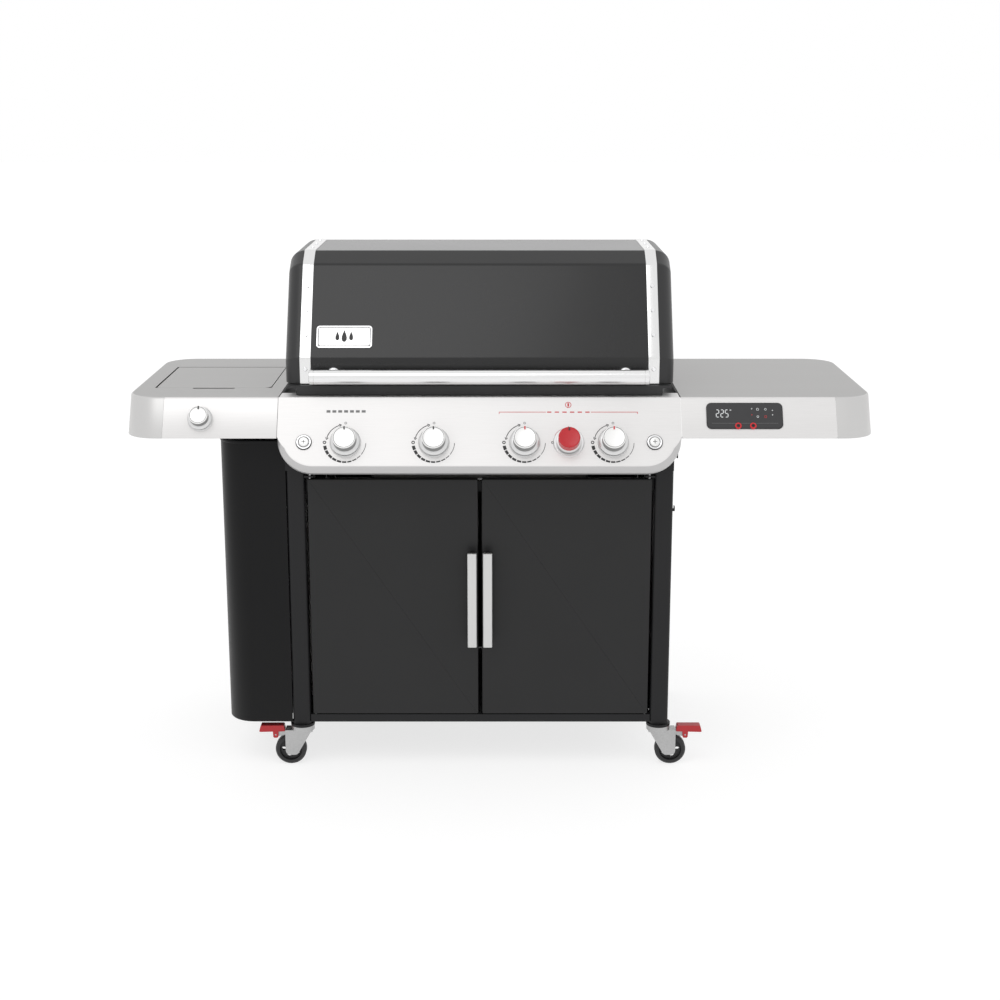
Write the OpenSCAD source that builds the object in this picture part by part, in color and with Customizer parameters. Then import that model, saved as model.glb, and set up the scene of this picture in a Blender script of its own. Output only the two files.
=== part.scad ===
// Gas barbecue grill on a four-caster cart: sloped control panel with five burner knobs,
// hinged lid, two side tables, a flush side burner, a tank bay and a two-door cabinet.
// Every module is drawn from the front edge of the tables (Y = 0) and the floor (Z = 0),
// and placed() then sets it back so that the origin is under the middle of the whole.

/* [Overall] */
// Width over both side tables
overall_w = 1730; // [1640:10:2100]
// Height of the side tables above the floor
table_h = 909; // [850:1:1100]
// Depth of the side tables, front to back
table_d = 565; // [556:1:700]
// How far the cabinet's middle lies left of the overall middle
cab_shift = 47; // [0:1:80]

/* [Cabinet] */
// Distance between the left and right leg centres
leg_pitch = 863; // [863:1:960]
// Width of a leg, seen from the front
leg_w = 44; // [40:1:52]
// Depth of a leg, front to back
leg_d = 40; // [36:1:48]
// Depth over the front and rear legs
cab_d = 540; // [530:1:600]
// Height of the legs' lower ends
leg_z = 104; // [100:1:125]
// Thickness of a door
door_t = 16; // [14:1:18]
// Gap between the doors
door_gap = 9; // [6:1:12]
// Gap between a door and its leg
door_side = 6; // [5:1:9]
// Height of the doors' lower edge
door_z = 133; // [132:1:160]

/* [Control panel] */
// Angle of the panel and table fronts from vertical
slope = 31; // [25:1:35]
// Length of the panel face down the slope
panel_len = 168; // [150:1:185]
// Length of the table fronts down the slope
fascia_len = 101; // [90:1:110]
// Distance of the knobs from the panel's top edge, along the slope
knob_s = 110; // [95:1:118]
// Distance of the outer knobs from the middle
knob_outer = 307; // [290:1:340]
// Distance of the inner knobs from the middle
knob_inner = 104; // [95:1:115]
// Distance of the red sear knob from the middle
knob_sear = 205; // [195:1:215]
// Radius of a knob cap
knob_r = 27; // [22:0.5:33]
// How far a knob stands out of the panel
knob_out = 38; // [34:1:46]
// How far a knob pushes in
push = 4; // [2:0.5:5]
// Radius of a valve stem
stem_r = 4; // [3:0.5:5]

/* [Lid] */
// Half width of the lid skin
lid_half = 418; // [418:1:470]
// Width of a cast lid end
casting_w = 36; // [30:1:40]
// Height of the lid
lid_h = 292.5; // [280:0.5:351]
// Diameter of the lid handle
handle_d = 35; // [28:1:42]
// Radius of the lid hinge pins
lid_pin_r = 5; // [4:0.5:6]

/* [Casters] */
// Wheel diameter
wheel_d = 75; // [70:1:78]
// Wheel width
wheel_w = 24; // [20:1:28]
// Distance from a swivel axis to its wheel's axle
trail = 30; // [24:1:36]
// Radius of a wheel axle
axle_r = 4; // [3:0.5:5]

/* [Gas cylinder] */
// Diameter of the gas cylinder
tank_d = 305; // [270:1:310]
// Height of the cylinder's body with its foot ring
tank_h = 335; // [300:1:350]

/* [Sheet and fits] */
// Thickness of panels and table sheet
sheet = 2; // [1.5:0.5:2.5]
// Radial clearance of a pin or shaft that turns or slides
run_fit = 0.05; // [0.02:0.01:0.1]

/* [Hidden] */
$fn = 64;
cab_x = -cab_shift;
half_w = overall_w / 2;
sin_s = sin(slope);
cos_s = cos(slope);
panel_half = leg_pitch / 2 + 32.7;
table_in = panel_half + 1;
table_low = table_h - fascia_len * cos_s;
table_fwd = fascia_len * sin_s;
corner_r = 76;
cap_from = half_w - 90.5;

rim_z = table_h + 23;
lid_z = rim_z + 1.5;
beam_z = table_h - 149;
beam_t = 25;
box_half = lid_half + 7;
box_front = 36;
box_back = 546;
box_wall = 6;
ledge_lo = table_h - 57;
ledge_hi = table_h - 11;
slot_z = beam_z - 12;
floor_rise = 30;
slot_half = 35;
rim_out = 14;
ledge_w = 9;
burner_z = table_h - 105.5;
burner_r = 13;
burner_xs = [-knob_outer, -knob_inner, knob_inner, knob_outer, knob_sear];

door_top = beam_z - 44.6;
door_half = leg_pitch / 2 - leg_w / 2 - door_side;
door_w = door_half - door_gap / 2;
door_pin_x = door_half - 6;
door_pin_r = 3;
rail_z = beam_z - 80;
rail_h = 25;
back_top = rail_z - 40;
hook_z = 636;
tray_z = beam_z - 52.7;
tray_half = 252;

screw_x = panel_half - 62.2;
bezel_t = 3;
bezel_r = 36;
knob_gap = push + 1;
knob_base = bezel_t + knob_gap;
skirt_r = knob_r + 7;
manifold_depth = 45;
manifold_y = -knob_s * sin_s + manifold_depth * cos_s;
manifold_z = table_h - knob_s * cos_s - manifold_depth * sin_s;
side_knob_x = -689;
side_knob_s = 54;

lid_front = 41;
lid_back = 562;
lid_hinge_y = lid_back + 14;
lid_hinge_z = lid_z - 6;
lid_hinge_x = 380;
lug_r = 12;
strip_in = lid_half - 26;
handle_y = lid_front - 45;
handle_z = lid_z + 23;
handle_half = strip_in - 0.5;
post_x = handle_half - 53;

cyl_x = -490;
cyl_y = 250;
floor_z = 131;
cyl_top = floor_z + tank_h;
valve_z = cyl_top + 64;
shroud_x = -658;
shroud_top = table_h - 101;
display_x = 563.2;
display_s = 46;
display_w = 176;
port_xs = [-15.8, 18.4];

burn_x0 = -821;
burn_x1 = -543;
burn_y0 = 127;
burn_y1 = 427.5;
notch_x0 = -730;
notch_x1 = -630;
burn_pin_y = 421;
burn_pin_z = table_h - 5.5;
burn_pin_r = 2;
pot_x = -682;
pot_y = 276;
well_z = table_h - 52;

swivel_x = leg_pitch / 2;
leg_in = swivel_x - leg_w / 2;
leg_out = swivel_x + leg_w / 2;
swivel_y = leg_d / 2;
swivel_back = cab_d - leg_d / 2;
kingpin_r = 6;
lever_x = 66;
lever_z = 75;
lever_pin_r = 2;

front_most = knob_s * sin_s + knob_out * cos_s + (knob_r - 2) * sin_s;
back_most = lid_hinge_y + lug_r - 0.5;
mid_y = (back_most - front_most) / 2;

// ---- Outlines ----

function unit(v) = v / norm(v);

// Arc of radius r that rounds the corner b between a and c, in n steps
function corner(a, b, c, r, n) =
    let (u = unit(a - b), v = unit(c - b))
    let (half = acos(u * v) / 2)
    let (p = b + u * r / tan(half), q = b + v * r / tan(half))
    let (o = b + unit(u + v) * r / sin(half))
    let (from = atan2(p.y - o.y, p.x - o.x), to = atan2(q.y - o.y, q.x - o.x))
    let (turn = (to - from + 540) % 360 - 180)
    [for (i = [0 : n]) o + r * [cos(from + turn * i / n), sin(from + turn * i / n)]];

// Closed outline with corner i rounded to radii[i]
function rounded(pts, radii, n = 8) =
    let (m = len(pts))
    [for (i = [0 : m - 1])
        each radii[i] <= 0.01 ? [pts[i]]
            : corner(pts[(i + m - 1) % m], pts[i], pts[(i + 1) % m], radii[i], n)];

// Closed anticlockwise outline moved inward by d
function inset(pts, d) =
    let (m = len(pts))
    [for (i = [0 : m - 1])
        let (b = pts[i], u = unit(b - pts[(i + m - 1) % m]), v = unit(pts[(i + 1) % m] - b))
        let (p = b + [-u.y, u.x] * d, q = b + [-v.y, v.x] * d)
        p + u * cross(q - p, v) / cross(u, v)];

// Radii of an outline after it has moved inward by d
function tighter(radii, d) = [for (r = radii) max(r - d, 0)];

// Rectangle centred on the origin with round corners
module round_rect(w, h, r)
    polygon(rounded([[-w / 2, -h / 2], [w / 2, -h / 2], [w / 2, h / 2], [-w / 2, h / 2]],
        [r, r, r, r]));

// Moves a module back so that the origin is under the middle of the whole
module placed() translate([0, -mid_y, 0]) children();

// Puts children on the sloped front: x across, s down the slope, local Z outward
module on_slope(x, s)
    translate([x, -s * sin_s, table_h - s * cos_s]) rotate([90 - slope, 0, 0]) children();

// Extrudes a Y-Z outline along X, from x over width w
module along_x(x, w) translate([x, 0, 0]) rotate([90, 0, 90]) linear_extrude(w) children();

// The same on both sides of the cabinet's middle
module both_sides() {
    translate([cab_x, 0, 0]) children();
    translate([cab_x, 0, 0]) mirror([1, 0, 0]) children();
}

// Box between two corners
module block(a, b) translate(a) cube(b - a);

// ---- Cart ----

leg_xs = [cab_x - swivel_x, cab_x + swivel_x];
leg_ys = [swivel_y, swivel_back];

module leg() {
    translate([0, 0, leg_z]) linear_extrude(beam_z - beam_t - leg_z) difference() {
        round_rect(leg_w, leg_d, 9);
        round_rect(leg_w - 4, leg_d - 4, 7);
    }
    // foot with the socket for a caster's kingpin
    difference() {
        union() {
            translate([0, 0, leg_z]) linear_extrude(28) round_rect(leg_w - 3, leg_d - 3, 7);
            translate([0, 0, leg_z - 4]) cylinder(r = 29, h = 6);
        }
        translate([0, 0, leg_z - 5]) cylinder(r = kingpin_r + run_fit, h = 27);
    }
}

module cart_frame() placed() color("dimgray") {
    for (x = leg_xs, y = leg_ys) translate([x, y, 0]) leg();
    // beams over the legs, with the plates that carry the tables
    both_sides() {
        block([leg_in, 0, beam_z - beam_t], [leg_out, cab_d, beam_z]);
        block([leg_out - 1, cab_d / 2 - 8, beam_z - beam_t], [panel_half + 1, cab_d - 6, beam_z]);
        block([panel_half - 2, 28, beam_z - 1], [panel_half + 1, cab_d - 6, table_h - sheet]);
        block([panel_half - 2, 28, table_h - sheet - 3], [panel_half + 20, cab_d, table_h - sheet]);
        // tabs over the doors that hold their upper pins
        difference() {
            union() {
                block([door_pin_x - 9, 1, door_top + 3], [leg_in + 1, 40, door_top + 7]);
                block([door_pin_x - 9, 24, rail_z], [leg_in + 1, 40, door_top + 7]);
            }
            translate([door_pin_x, door_t / 2, door_top]) cylinder(r = door_pin_r, h = 20);
        }
        // runners and hangers of the grease tray
        block([tray_half + 1, 24, rail_z + 24.5], [tray_half + 3, 520, slot_z - 4]);
        block([tray_half - 14, 24, rail_z + 24.5], [tray_half + 3, 520, rail_z + 27]);
        block([tray_half + 1, 508, back_top - rail_h], [tray_half + 27, 511, rail_z + 40]);
    }
    // cross rails behind the doors and in front of the back panel
    block([leg_xs[0] + 20, 24, rail_z], [leg_xs[1] - 20, 40, rail_z + rail_h]);
    block([leg_xs[0] + 20, 505, back_top - rail_h], [leg_xs[1] - 20, 520, back_top]);
    // small tool hook on the right front leg
    block([cab_x + leg_out - 1, 8, hook_z], [cab_x + leg_out + 5, 22, hook_z + 4]);
    block([cab_x + leg_out + 3, 8, hook_z], [cab_x + leg_out + 5, 22, hook_z + 11]);
}

// Outline of the base pan with the wing that carries the gas cylinder, moved inward by d
function pan_outline(d) =
    let (x0 = shroud_x + 12, x2 = leg_xs[0] + leg_w / 2)
    let (x3 = leg_xs[1] - leg_w / 2, y0 = 2, y1 = leg_d + 20, y2 = cab_d - leg_d - 20)
    [[x2 + d, y0 + d], [x3 - d, y0 + d], [x3 - d, cab_d - y0 - d], [x2 + d, cab_d - y0 - d],
        [x2 + d, y2 - d], [x0 + d, y2 - d], [x0 + d, y1 + d], [x2 + d, y1 + d]];

module base_pan() placed() color("darkslategray") difference() {
    translate([0, 0, 112]) linear_extrude(floor_z - 112) polygon(pan_outline(0));
    translate([0, 0, 111]) linear_extrude(floor_z - sheet - 111) polygon(pan_outline(sheet));
    for (side = [-1, 1]) translate([cab_x + side * door_pin_x, door_t / 2, 110])
        cylinder(r = door_pin_r, h = 30);
}

module back_panel() placed() color("dimgray") difference() {
    block([leg_xs[0] + leg_w / 2, cab_d - leg_d + 4, floor_z + 1],
        [leg_xs[1] - leg_w / 2, cab_d - leg_d + 4.9, back_top]);
    for (x = [-180, 180], i = [0 : 4]) translate([cab_x + x, cab_d - leg_d, 430 + i * 22])
        rotate([-90, 0, 0]) linear_extrude(12) round_rect(150, 8, 3.9);
}

module side_panel() placed() color("dimgray") {
    block([leg_xs[1] + 12, leg_d, floor_z - 18], [leg_xs[1] + 14, cab_d - leg_d, beam_z - beam_t]);
    block([leg_xs[1] - 50, leg_d, floor_z], [leg_xs[1] + 13, cab_d - leg_d, floor_z + 2]);
}

// Plan of the tank shroud's wall, moved inward by d
function shroud_plan(d) =
    let (x1 = leg_xs[0] - leg_w / 2)
    [[x1, d], [x1, cab_d - d], [shroud_x + d, cab_d - d], [shroud_x + d, d]];

// Band of the shroud's wall between two insets, open at the leg, with corner radius r
module shroud_ring(outer, inner, r) difference() {
    polygon(rounded(shroud_plan(outer), [0, 0, r - outer, r - outer]));
    polygon(rounded([for (p = shroud_plan(inner)) [p.x > shroud_x + 60 ? p.x + 10 : p.x, p.y]],
        [0, 0, r - inner, r - inner]));
}

module tank_shroud() placed() color("dimgray") {
    translate([0, 0, 112]) linear_extrude(shroud_top - 8 - 112) shroud_ring(0, sheet, 64);
    translate([0, 0, shroud_top - 8]) linear_extrude(8) shroud_ring(-2, 3, 64);
    translate([0, 0, 112]) linear_extrude(4) shroud_ring(0, 12, 64);
}

module tank_bracket() placed() color("silver")
    for (a = [20, 200]) translate([cyl_x, cyl_y, floor_z]) rotate(a) rotate_extrude(angle = 140)
        polygon([[102, 0], [118, 0], [118, 2], [104, 2], [104, 14], [102, 14]]);

// Half section of the cylinder's body with shoulders of radius r about fixed centres
tank_wall = 3;
function tank_line(r) = concat([[0, 84 - r]],
    [for (a = [-80 : 10 : 0]) [tank_d / 2 - 70 + r * cos(a), 90 + r * sin(a)]],
    [for (a = [0 : 10 : 80]) [tank_d / 2 - 70 + r * cos(a), tank_h - 90 + r * sin(a)]],
    [[0, tank_h - 84 + r]]);

module gas_cylinder() placed() color("gainsboro") translate([cyl_x, cyl_y, floor_z]) {
    // foot ring, then the body with round shoulders
    rotate_extrude() polygon([[97, 0], [101, 0], [101, 40], [97, 40]]);
    rotate_extrude() difference() {
        polygon(tank_line(70));
        polygon(tank_line(70 - tank_wall));
    }
    // collar, open towards the regulator
    translate([0, 0, tank_h - 23]) rotate(60) rotate_extrude(angle = 240)
        polygon([[92, 0], [95, 0], [95, 123], [92, 123]]);
    // valve
    translate([0, 0, tank_h - 16]) cylinder(r = 16, h = 50);
    translate([0, 0, tank_h + 30]) cylinder(r = 13, h = 54);
    translate([0, 0, 64 + tank_h]) rotate([0, 90, 0]) cylinder(r = 12, h = 34);
    translate([0, 0, tank_h + 84]) cylinder(r = 5, h = 30);
}

module cylinder_handwheel() placed() color("dimgray") translate([cyl_x, cyl_y, cyl_top + 88]) difference() {
    union() {
        cylinder(r = 11, h = 22);
        translate([0, 0, 4]) rotate_extrude() polygon([[26, 0], [34, 2], [34, 12], [26, 14]]);
        for (a = [0 : 60 : 300]) rotate(a) translate([8, -4, 6]) cube([21, 8, 8]);
    }
    translate([0, 0, -1]) cylinder(r = 5 + run_fit, h = 30);
}

// Smooth path through points, with n steps between each pair
function spline(p, n) =
    let (m = len(p) - 1)
    concat([for (i = [0 : m - 1], k = [0 : n - 1])
        let (a = p[max(i - 1, 0)], b = p[i], c = p[i + 1], d = p[min(i + 2, m)], t = k / n)
        0.5 * (2 * b + (c - a) * t + (2 * a - 5 * b + 4 * c - d) * t * t
            + (3 * b - a - 3 * c + d) * t * t * t)], [p[m]]);

// Round tube of radius r along a path of points
module tube(path, r, sides = 10) {
    m = len(path);
    dirs = [for (i = [0 : m - 1]) unit(path[min(i + 1, m - 1)] - path[max(i - 1, 0)])];
    rings = [for (i = [0 : m - 1])
        let (u = unit(cross(dirs[i], [0.31, 0.2, 0.93])), v = cross(dirs[i], u))
        for (k = [0 : sides - 1]) path[i] + r * (u * cos(k * 360 / sides) + v * sin(k * 360 / sides))];
    faces = concat([[for (k = [0 : sides - 1]) k]],
        [for (i = [0 : m - 2], k = [0 : sides - 1]) let (j = (k + 1) % sides)
            [i * sides + k, (i + 1) * sides + k, (i + 1) * sides + j, i * sides + j]],
        [[for (k = [sides - 1 : -1 : 0]) (m - 1) * sides + k]]);
    polyhedron(rings, faces);
}

supply_x = cab_x - 350;
reg_x = cyl_x + 105;

module gas_hoses() placed() color("dimgray") {
    // nut and regulator on the cylinder's valve
    translate([cyl_x + 34, cyl_y, valve_z]) rotate([0, 90, 0]) cylinder(r = 18, h = 30);
    translate([cyl_x + 60, cyl_y, valve_z]) rotate([0, 90, 0]) cylinder(r = 9, h = 20);
    translate([reg_x, cyl_y, valve_z - 12]) cylinder(r = 37, h = 10);
    translate([reg_x, cyl_y, valve_z - 4]) cylinder(r = 33, h = 20);
    translate([reg_x, cyl_y - 28, valve_z]) rotate([90, 0, 0]) cylinder(r = 8, h = 28);
    // hose to the manifold
    tube(spline([[reg_x, 194, valve_z], [reg_x, 168, valve_z + 3], [-386, 138, valve_z + 22],
        [-389, 112, 590], [-391, 94, 635], [-393, 78, beam_z - 80], [-395, 58, beam_z - 50],
        [-396, 34, beam_z - 32], [supply_x, 10, beam_z - 25], [supply_x, -10, beam_z - 18],
        [supply_x, manifold_y, beam_z - 2], [supply_x, manifold_y, beam_z + 8]], 3), 6);
    // hose to the side burner's valve
    tube(spline([[cab_x - 432, manifold_y, manifold_z], [cab_x - 446, manifold_y + 1, manifold_z + 6],
        [-512, -13, table_h - 88], [-532, -7, table_h - 72], [-572, -1, table_h - 67],
        [-625, 4, table_h - 67], [side_knob_x + 11, 6, table_h - 67]], 3), 5);
}

module hinge_pins() placed() color("silver") {
    both_sides() {
        translate([lid_hinge_x - 22, lid_hinge_y, lid_hinge_z]) rotate([0, 90, 0])
            cylinder(r = lid_pin_r, h = 44);
        translate([door_pin_x, door_t / 2, 113]) cylinder(r = door_pin_r, h = door_z + 9 - 113);
        translate([door_pin_x, door_t / 2, door_top - 9]) cylinder(r = door_pin_r, h = 19);
    }
    for (x = [burn_x0 - 2, burn_x1 - 8]) translate([x, burn_pin_y, burn_pin_z])
        rotate([0, 90, 0]) cylinder(r = burn_pin_r, h = 10);
}

// ---- Cookbox ----

box_mid = (box_front + box_back) / 2;

// Front half of the firebox's section: rim, wall with two ledges, and floor down to the grease slot
function ledge(w, z) = [[w, z], [w + ledge_w, z], [w + ledge_w, z - 5], [w, z - 8]];
function box_section() =
    let (f = box_front, w = f + box_wall, s = box_mid - slot_half)
    concat([[s, slot_z], [f, slot_z + floor_rise], [f, table_h + 2], [f - rim_out, table_h + 2],
        [f - rim_out, rim_z], [w, rim_z]], ledge(w, ledge_hi), ledge(w, ledge_lo),
        [[w, slot_z + floor_rise + 4], [s, slot_z + 4]]);

module firebox() placed() color("#202020") difference() {
    union() {
        along_x(cab_x - box_half, 2 * box_half) {
            polygon(box_section());
            translate([2 * box_mid, 0]) mirror([1, 0]) polygon(box_section());
        }
        both_sides() {
            block([box_half - box_wall, box_front, beam_z], [box_half, box_back, rim_z]);
            // rim under the lid's ends
            block([box_half - box_wall, box_front - rim_out, rim_z - 6],
                [box_half + 20, box_back + rim_out, rim_z]);
            // ends of the sloping floor between the beams
            along_x(leg_in - 3, box_half - leg_in) polygon([[box_mid - slot_half, slot_z],
                [box_front, slot_z + floor_rise], [box_front, slot_z + floor_rise + 4],
                [box_back, slot_z + floor_rise + 4], [box_back, slot_z + floor_rise],
                [box_mid + slot_half, slot_z]]);
            // rear lugs for the lid's hinge pins
            for (x = [lid_hinge_x - 22, lid_hinge_x + 12.5]) {
                block([x, box_back - 2, lid_hinge_z - 22], [x + 9.5, lid_hinge_y, lid_hinge_z - 2]);
                translate([x, lid_hinge_y, lid_hinge_z]) rotate([0, 90, 0])
                    cylinder(r = lug_r - 0.5, h = 9.5);
            }
        }
    }
    both_sides() {
        translate([lid_hinge_x - 30, lid_hinge_y, lid_hinge_z]) rotate([0, 90, 0])
            cylinder(r = lid_pin_r, h = 60);
        // room for the beams that carry the box
        block([leg_in, box_front - 5, slot_z - 5], [box_half + 5, box_back + 5, beam_z]);
    }
    for (x = burner_xs) translate([cab_x + x, box_front - 5, burner_z]) rotate([-90, 0, 0])
        cylinder(r = burner_r + 2, h = 20);
}

module valve_body(depth) difference() {
    translate([0, 0, -depth]) cylinder(r = 11, h = depth - 6);
    translate([0, 0, -depth + 4]) cylinder(r = stem_r + run_fit, h = depth);
}

module gas_manifold() placed() color("goldenrod") {
    difference() {
        union() {
            translate([cab_x - 432, manifold_y, manifold_z]) rotate([0, 90, 0])
                cylinder(r = 10, h = 432 + knob_outer + 51);
            translate([supply_x, manifold_y, beam_z + 8]) cylinder(r = 9, h = manifold_z - beam_z - 8);
            for (x = burner_xs) {
                on_slope(cab_x + x, knob_s) translate([0, 0, -manifold_depth])
                    cylinder(r = 11, h = manifold_depth - 6);
                // orifice that feeds the burner's mouth
                translate([cab_x + x, manifold_y - 14, burner_z]) rotate([-90, 0, 0])
                    cylinder(r = 4.5, h = box_front - manifold_y + 22);
            }
        }
        for (x = burner_xs) on_slope(cab_x + x, knob_s) translate([0, 0, -manifold_depth + 4])
            cylinder(r = stem_r + run_fit, h = manifold_depth);
    }
}

port_n = 13;
module burner_tubes() placed() color("silver")
    for (x = burner_xs) translate([cab_x + x, 0, burner_z]) {
        // open mouth around the orifice, long body, closed rear end
        difference() {
            translate([0, box_front - 4, 0]) rotate([-90, 0, 0])
                cylinder(r = burner_r, h = box_back - box_wall - box_front + 3.5);
            translate([0, box_front - 5, 0]) rotate([-90, 0, 0])
                cylinder(r = burner_r - 1.5, h = box_back - box_wall - box_front - 6);
            for (i = [0 : port_n - 1]) translate([0, box_front + 46 + i * 34, 4]) rotate([0, 90, 0])
                cylinder(r = 1.5, h = 40, center = true);
        }
        translate([-14, box_back - box_wall - 22, -24]) cube([28, 3, 14]);
    }

tent_n = 7;
tent_pitch = 112;
module heat_tents() placed() color("darkgray")
    for (i = [0 : tent_n - 1])
        translate([cab_x + (i - (tent_n - 1) / 2) * tent_pitch, box_front + box_wall + 1, ledge_lo])
            rotate([90, 0, 180]) linear_extrude(box_back - box_front - 2 * box_wall - 2)
                polygon([[-34, 0], [-32.5, 0], [0, 32], [32.5, 0], [34, 0], [0, 34.5]]);

grate_n = 3;
grate_w = (2 * (box_half - box_wall) - 8) / grate_n - 2;
bar_n = 15;
bar_w = 8;
// Left side of bar i of a grate, from the grate's middle
function bar_at(i) = -grate_w / 2 + i * (grate_w - bar_w) / (bar_n - 1);

module cooking_grates() placed() color("#303030")
    for (g = [0 : grate_n - 1]) translate([cab_x + (g - (grate_n - 1) / 2) * (grate_w + 2), 0, ledge_hi]) {
        for (i = [0 : bar_n - 1])
            block([bar_at(i), box_front + box_wall + 2, 0],
                [bar_at(i) + bar_w, box_back - box_wall - 2, 12]);
        for (y = [box_front + box_wall + 2, box_mid - 5, box_back - box_wall - 12])
            block([-grate_w / 2, y, 0], [grate_w / 2, y + 10, 9]);
    }

rack_z = rim_z + 118;
rack_half = grate_w + 2 + bar_at(bar_n - 2) + bar_w - 1;
module warming_rack() placed() color("silver") {
    for (y = [395, 460, 525])
        block([cab_x - rack_half, y - 3, rack_z], [cab_x + rack_half, y + 3, rack_z + 6]);
    for (i = [0 : 21]) translate([cab_x + (i - 10.5) * 36, 392, rack_z + 5]) cube([4, 136, 4]);
    both_sides() for (y = [395, 525])
        block([rack_half - 6, y - 3, ledge_hi + 12], [rack_half, y + 3, rack_z + 2]);
}

// ---- Control panel ----

panel_deep = 22;
bevel = 12;
low_len = panel_len + bevel;
panel_r = 84;
arc_n = 8;

// Panel outline on the slope, anticlockwise, with its sheet edges moved inward by t;
// below the tables its rim is moved inward by a further d
function panel_ring(t, d) =
    let (w = panel_half - t, r = panel_r - t, c = [panel_half - panel_r, panel_r - low_len])
    concat([[-w, -t]],
        [for (i = [0 : arc_n]) let (a = 180 + 90 * i / arc_n, q = r - d * min(1, i / 2))
            [-c.x + q * cos(a), c.y + q * sin(a)]],
        [for (i = [0 : arc_n]) let (a = 270 + 90 * i / arc_n, q = r - d * min(1, (arc_n - i) / 2))
            [c.x + q * cos(a), c.y + q * sin(a)]],
        [[w, -t]]);

// Solid through closed outlines, each given with its height, from the lowest up
module loft(rings) {
    m = len(rings[0][0]);
    points = [for (r = rings, p = r[0]) [p.x, p.y, r[1]]];
    polyhedron(points, concat([[for (k = [0 : m - 1]) k]],
        [for (i = [0 : len(rings) - 2], k = [0 : m - 1]) let (j = (k + 1) % m, a = i * m, b = a + m)
            each [[a + k, b + k, b + j], [a + k, b + j, a + j]]],
        [[for (k = [m - 1 : -1 : 0]) (len(rings) - 1) * m + k]]));
}

module control_panel() placed() color("whitesmoke") {
    on_slope(cab_x, 0) difference() {
        loft([[panel_ring(0, 0), -panel_deep], [panel_ring(0, 0), -bevel], [panel_ring(0, bevel), 0]]);
        loft([[panel_ring(sheet, 0), -panel_deep - 1], [panel_ring(sheet, 0), -bevel - 0.8],
            [panel_ring(sheet, bevel), -sheet]]);
        for (x = burner_xs) translate([x, -knob_s, -10]) cylinder(r = stem_r + 3, h = 20);
        for (x = [-screw_x, screw_x]) translate([x, -knob_s, -10]) cylinder(r = 4, h = 20);
    }
    // flange under the firebox's rim and the two small ledges beside it
    difference() {
        block([cab_x - panel_half + 2.4, 1, table_h - sheet - 0.3],
            [cab_x + panel_half - 2.4, 60, table_h - 0.3]);
        block([cab_x - box_half - 1, box_front - 1, table_h - 10], [cab_x + box_half + 1, 70, table_h + 5]);
    }
}

module knob_bezels() placed() color("silver") {
    for (x = burner_xs) on_slope(cab_x + x, knob_s) difference() {
        cylinder(r1 = bezel_r, r2 = bezel_r - 2, h = bezel_t);
        translate([0, 0, -1]) cylinder(r = stem_r + 3, h = 10);
    }
    on_slope(side_knob_x, side_knob_s) difference() {
        cylinder(r1 = bezel_r - 7, r2 = bezel_r - 9, h = bezel_t);
        translate([0, 0, -1]) cylinder(r = stem_r + 3, h = 10);
    }
}

module panel_screws() placed() color("silver")
    for (x = [-screw_x, screw_x]) on_slope(cab_x + x, knob_s) {
        rotate_extrude() polygon([[0, 0], [18.5, 0], [18.5, 1.5], [16, 3.5], [12, 3.5], [11.5, 2.4],
            [10.5, 2.4], [10, 6], [9, 7], [0, 7]]);
        translate([0, 0, -14]) cylinder(r = 4, h = 15);
    }

// Cap and skirt on a stem; the pointer is a low rib at the top of the cap
module knob(cap_r, base_r, out) difference() {
    union() {
        rotate_extrude() polygon([[0, knob_base], [base_r, knob_base], [base_r, knob_base + 2],
            [cap_r + 3, knob_base + 5], [cap_r, knob_base + 8], [cap_r, out - 2],
            [cap_r - 2, out], [0, out]]);
        translate([-1.5, cap_r - 12, out - 1]) cube([3, 11.2, 1.6]);
    }
    translate([0, 0, knob_base - 1]) cylinder(r = stem_r + run_fit, h = out - knob_base - 7);
}

module stem(out) translate([0, 0, -30]) cylinder(r = stem_r, h = 30 + out - 8.6);

module burner_knob(i) placed() on_slope(cab_x + burner_xs[i], knob_s) knob(knob_r, skirt_r, knob_out);
module burner_knob_1() color("gainsboro") burner_knob(0);
module burner_knob_2() color("gainsboro") burner_knob(1);
module burner_knob_3() color("gainsboro") burner_knob(2);
module burner_knob_4() color("gainsboro") burner_knob(3);

module sear_knob() placed() color("firebrick") on_slope(cab_x + knob_sear, knob_s)
    knob(knob_r - 2, knob_r + 1, knob_out);

module side_knob() placed() color("gainsboro") on_slope(side_knob_x, side_knob_s)
    knob(knob_r - 6, knob_r - 1, knob_out - 6);

module valve_stem(i) placed() on_slope(cab_x + burner_xs[i], knob_s) stem(knob_out);
module valve_stem_1() color("silver") valve_stem(0);
module valve_stem_2() color("silver") valve_stem(1);
module valve_stem_3() color("silver") valve_stem(2);
module valve_stem_4() color("silver") valve_stem(3);
module sear_stem() color("silver") valve_stem(4);
module side_stem() placed() color("silver") on_slope(side_knob_x, side_knob_s) stem(knob_out - 6);

// ---- Side tables ----

// Plan of a table from x_from to the outer side, its front moved forward by fwd
function table_plan(x_from, fwd) = [[x_from, -fwd], [half_w, -fwd], [half_w, table_d], [x_from, table_d]];

left_in = -cab_x + table_in;
right_in = cab_x + table_in;

// Top plate, sloped front and rear flange of a table that starts at x_from
module table_top_and_front(x_from) {
    translate([0, 0, table_h - sheet]) linear_extrude(sheet)
        polygon(rounded(table_plan(x_from, 0), [0, corner_r, corner_r, 0]));
    intersection() {
        on_slope(0, 0) block([x_from, -fascia_len, -sheet], [cap_from, 0, 0]);
        block([x_from - 1, -200, 0], [cap_from + 1, 200, table_h - 0.5]);
    }
    block([x_from, table_d - sheet, table_low], [cap_from, table_d, table_h - 0.5]);
    block([x_from, table_d - 14, table_low], [cap_from, table_d, table_low + sheet]);
}

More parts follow.
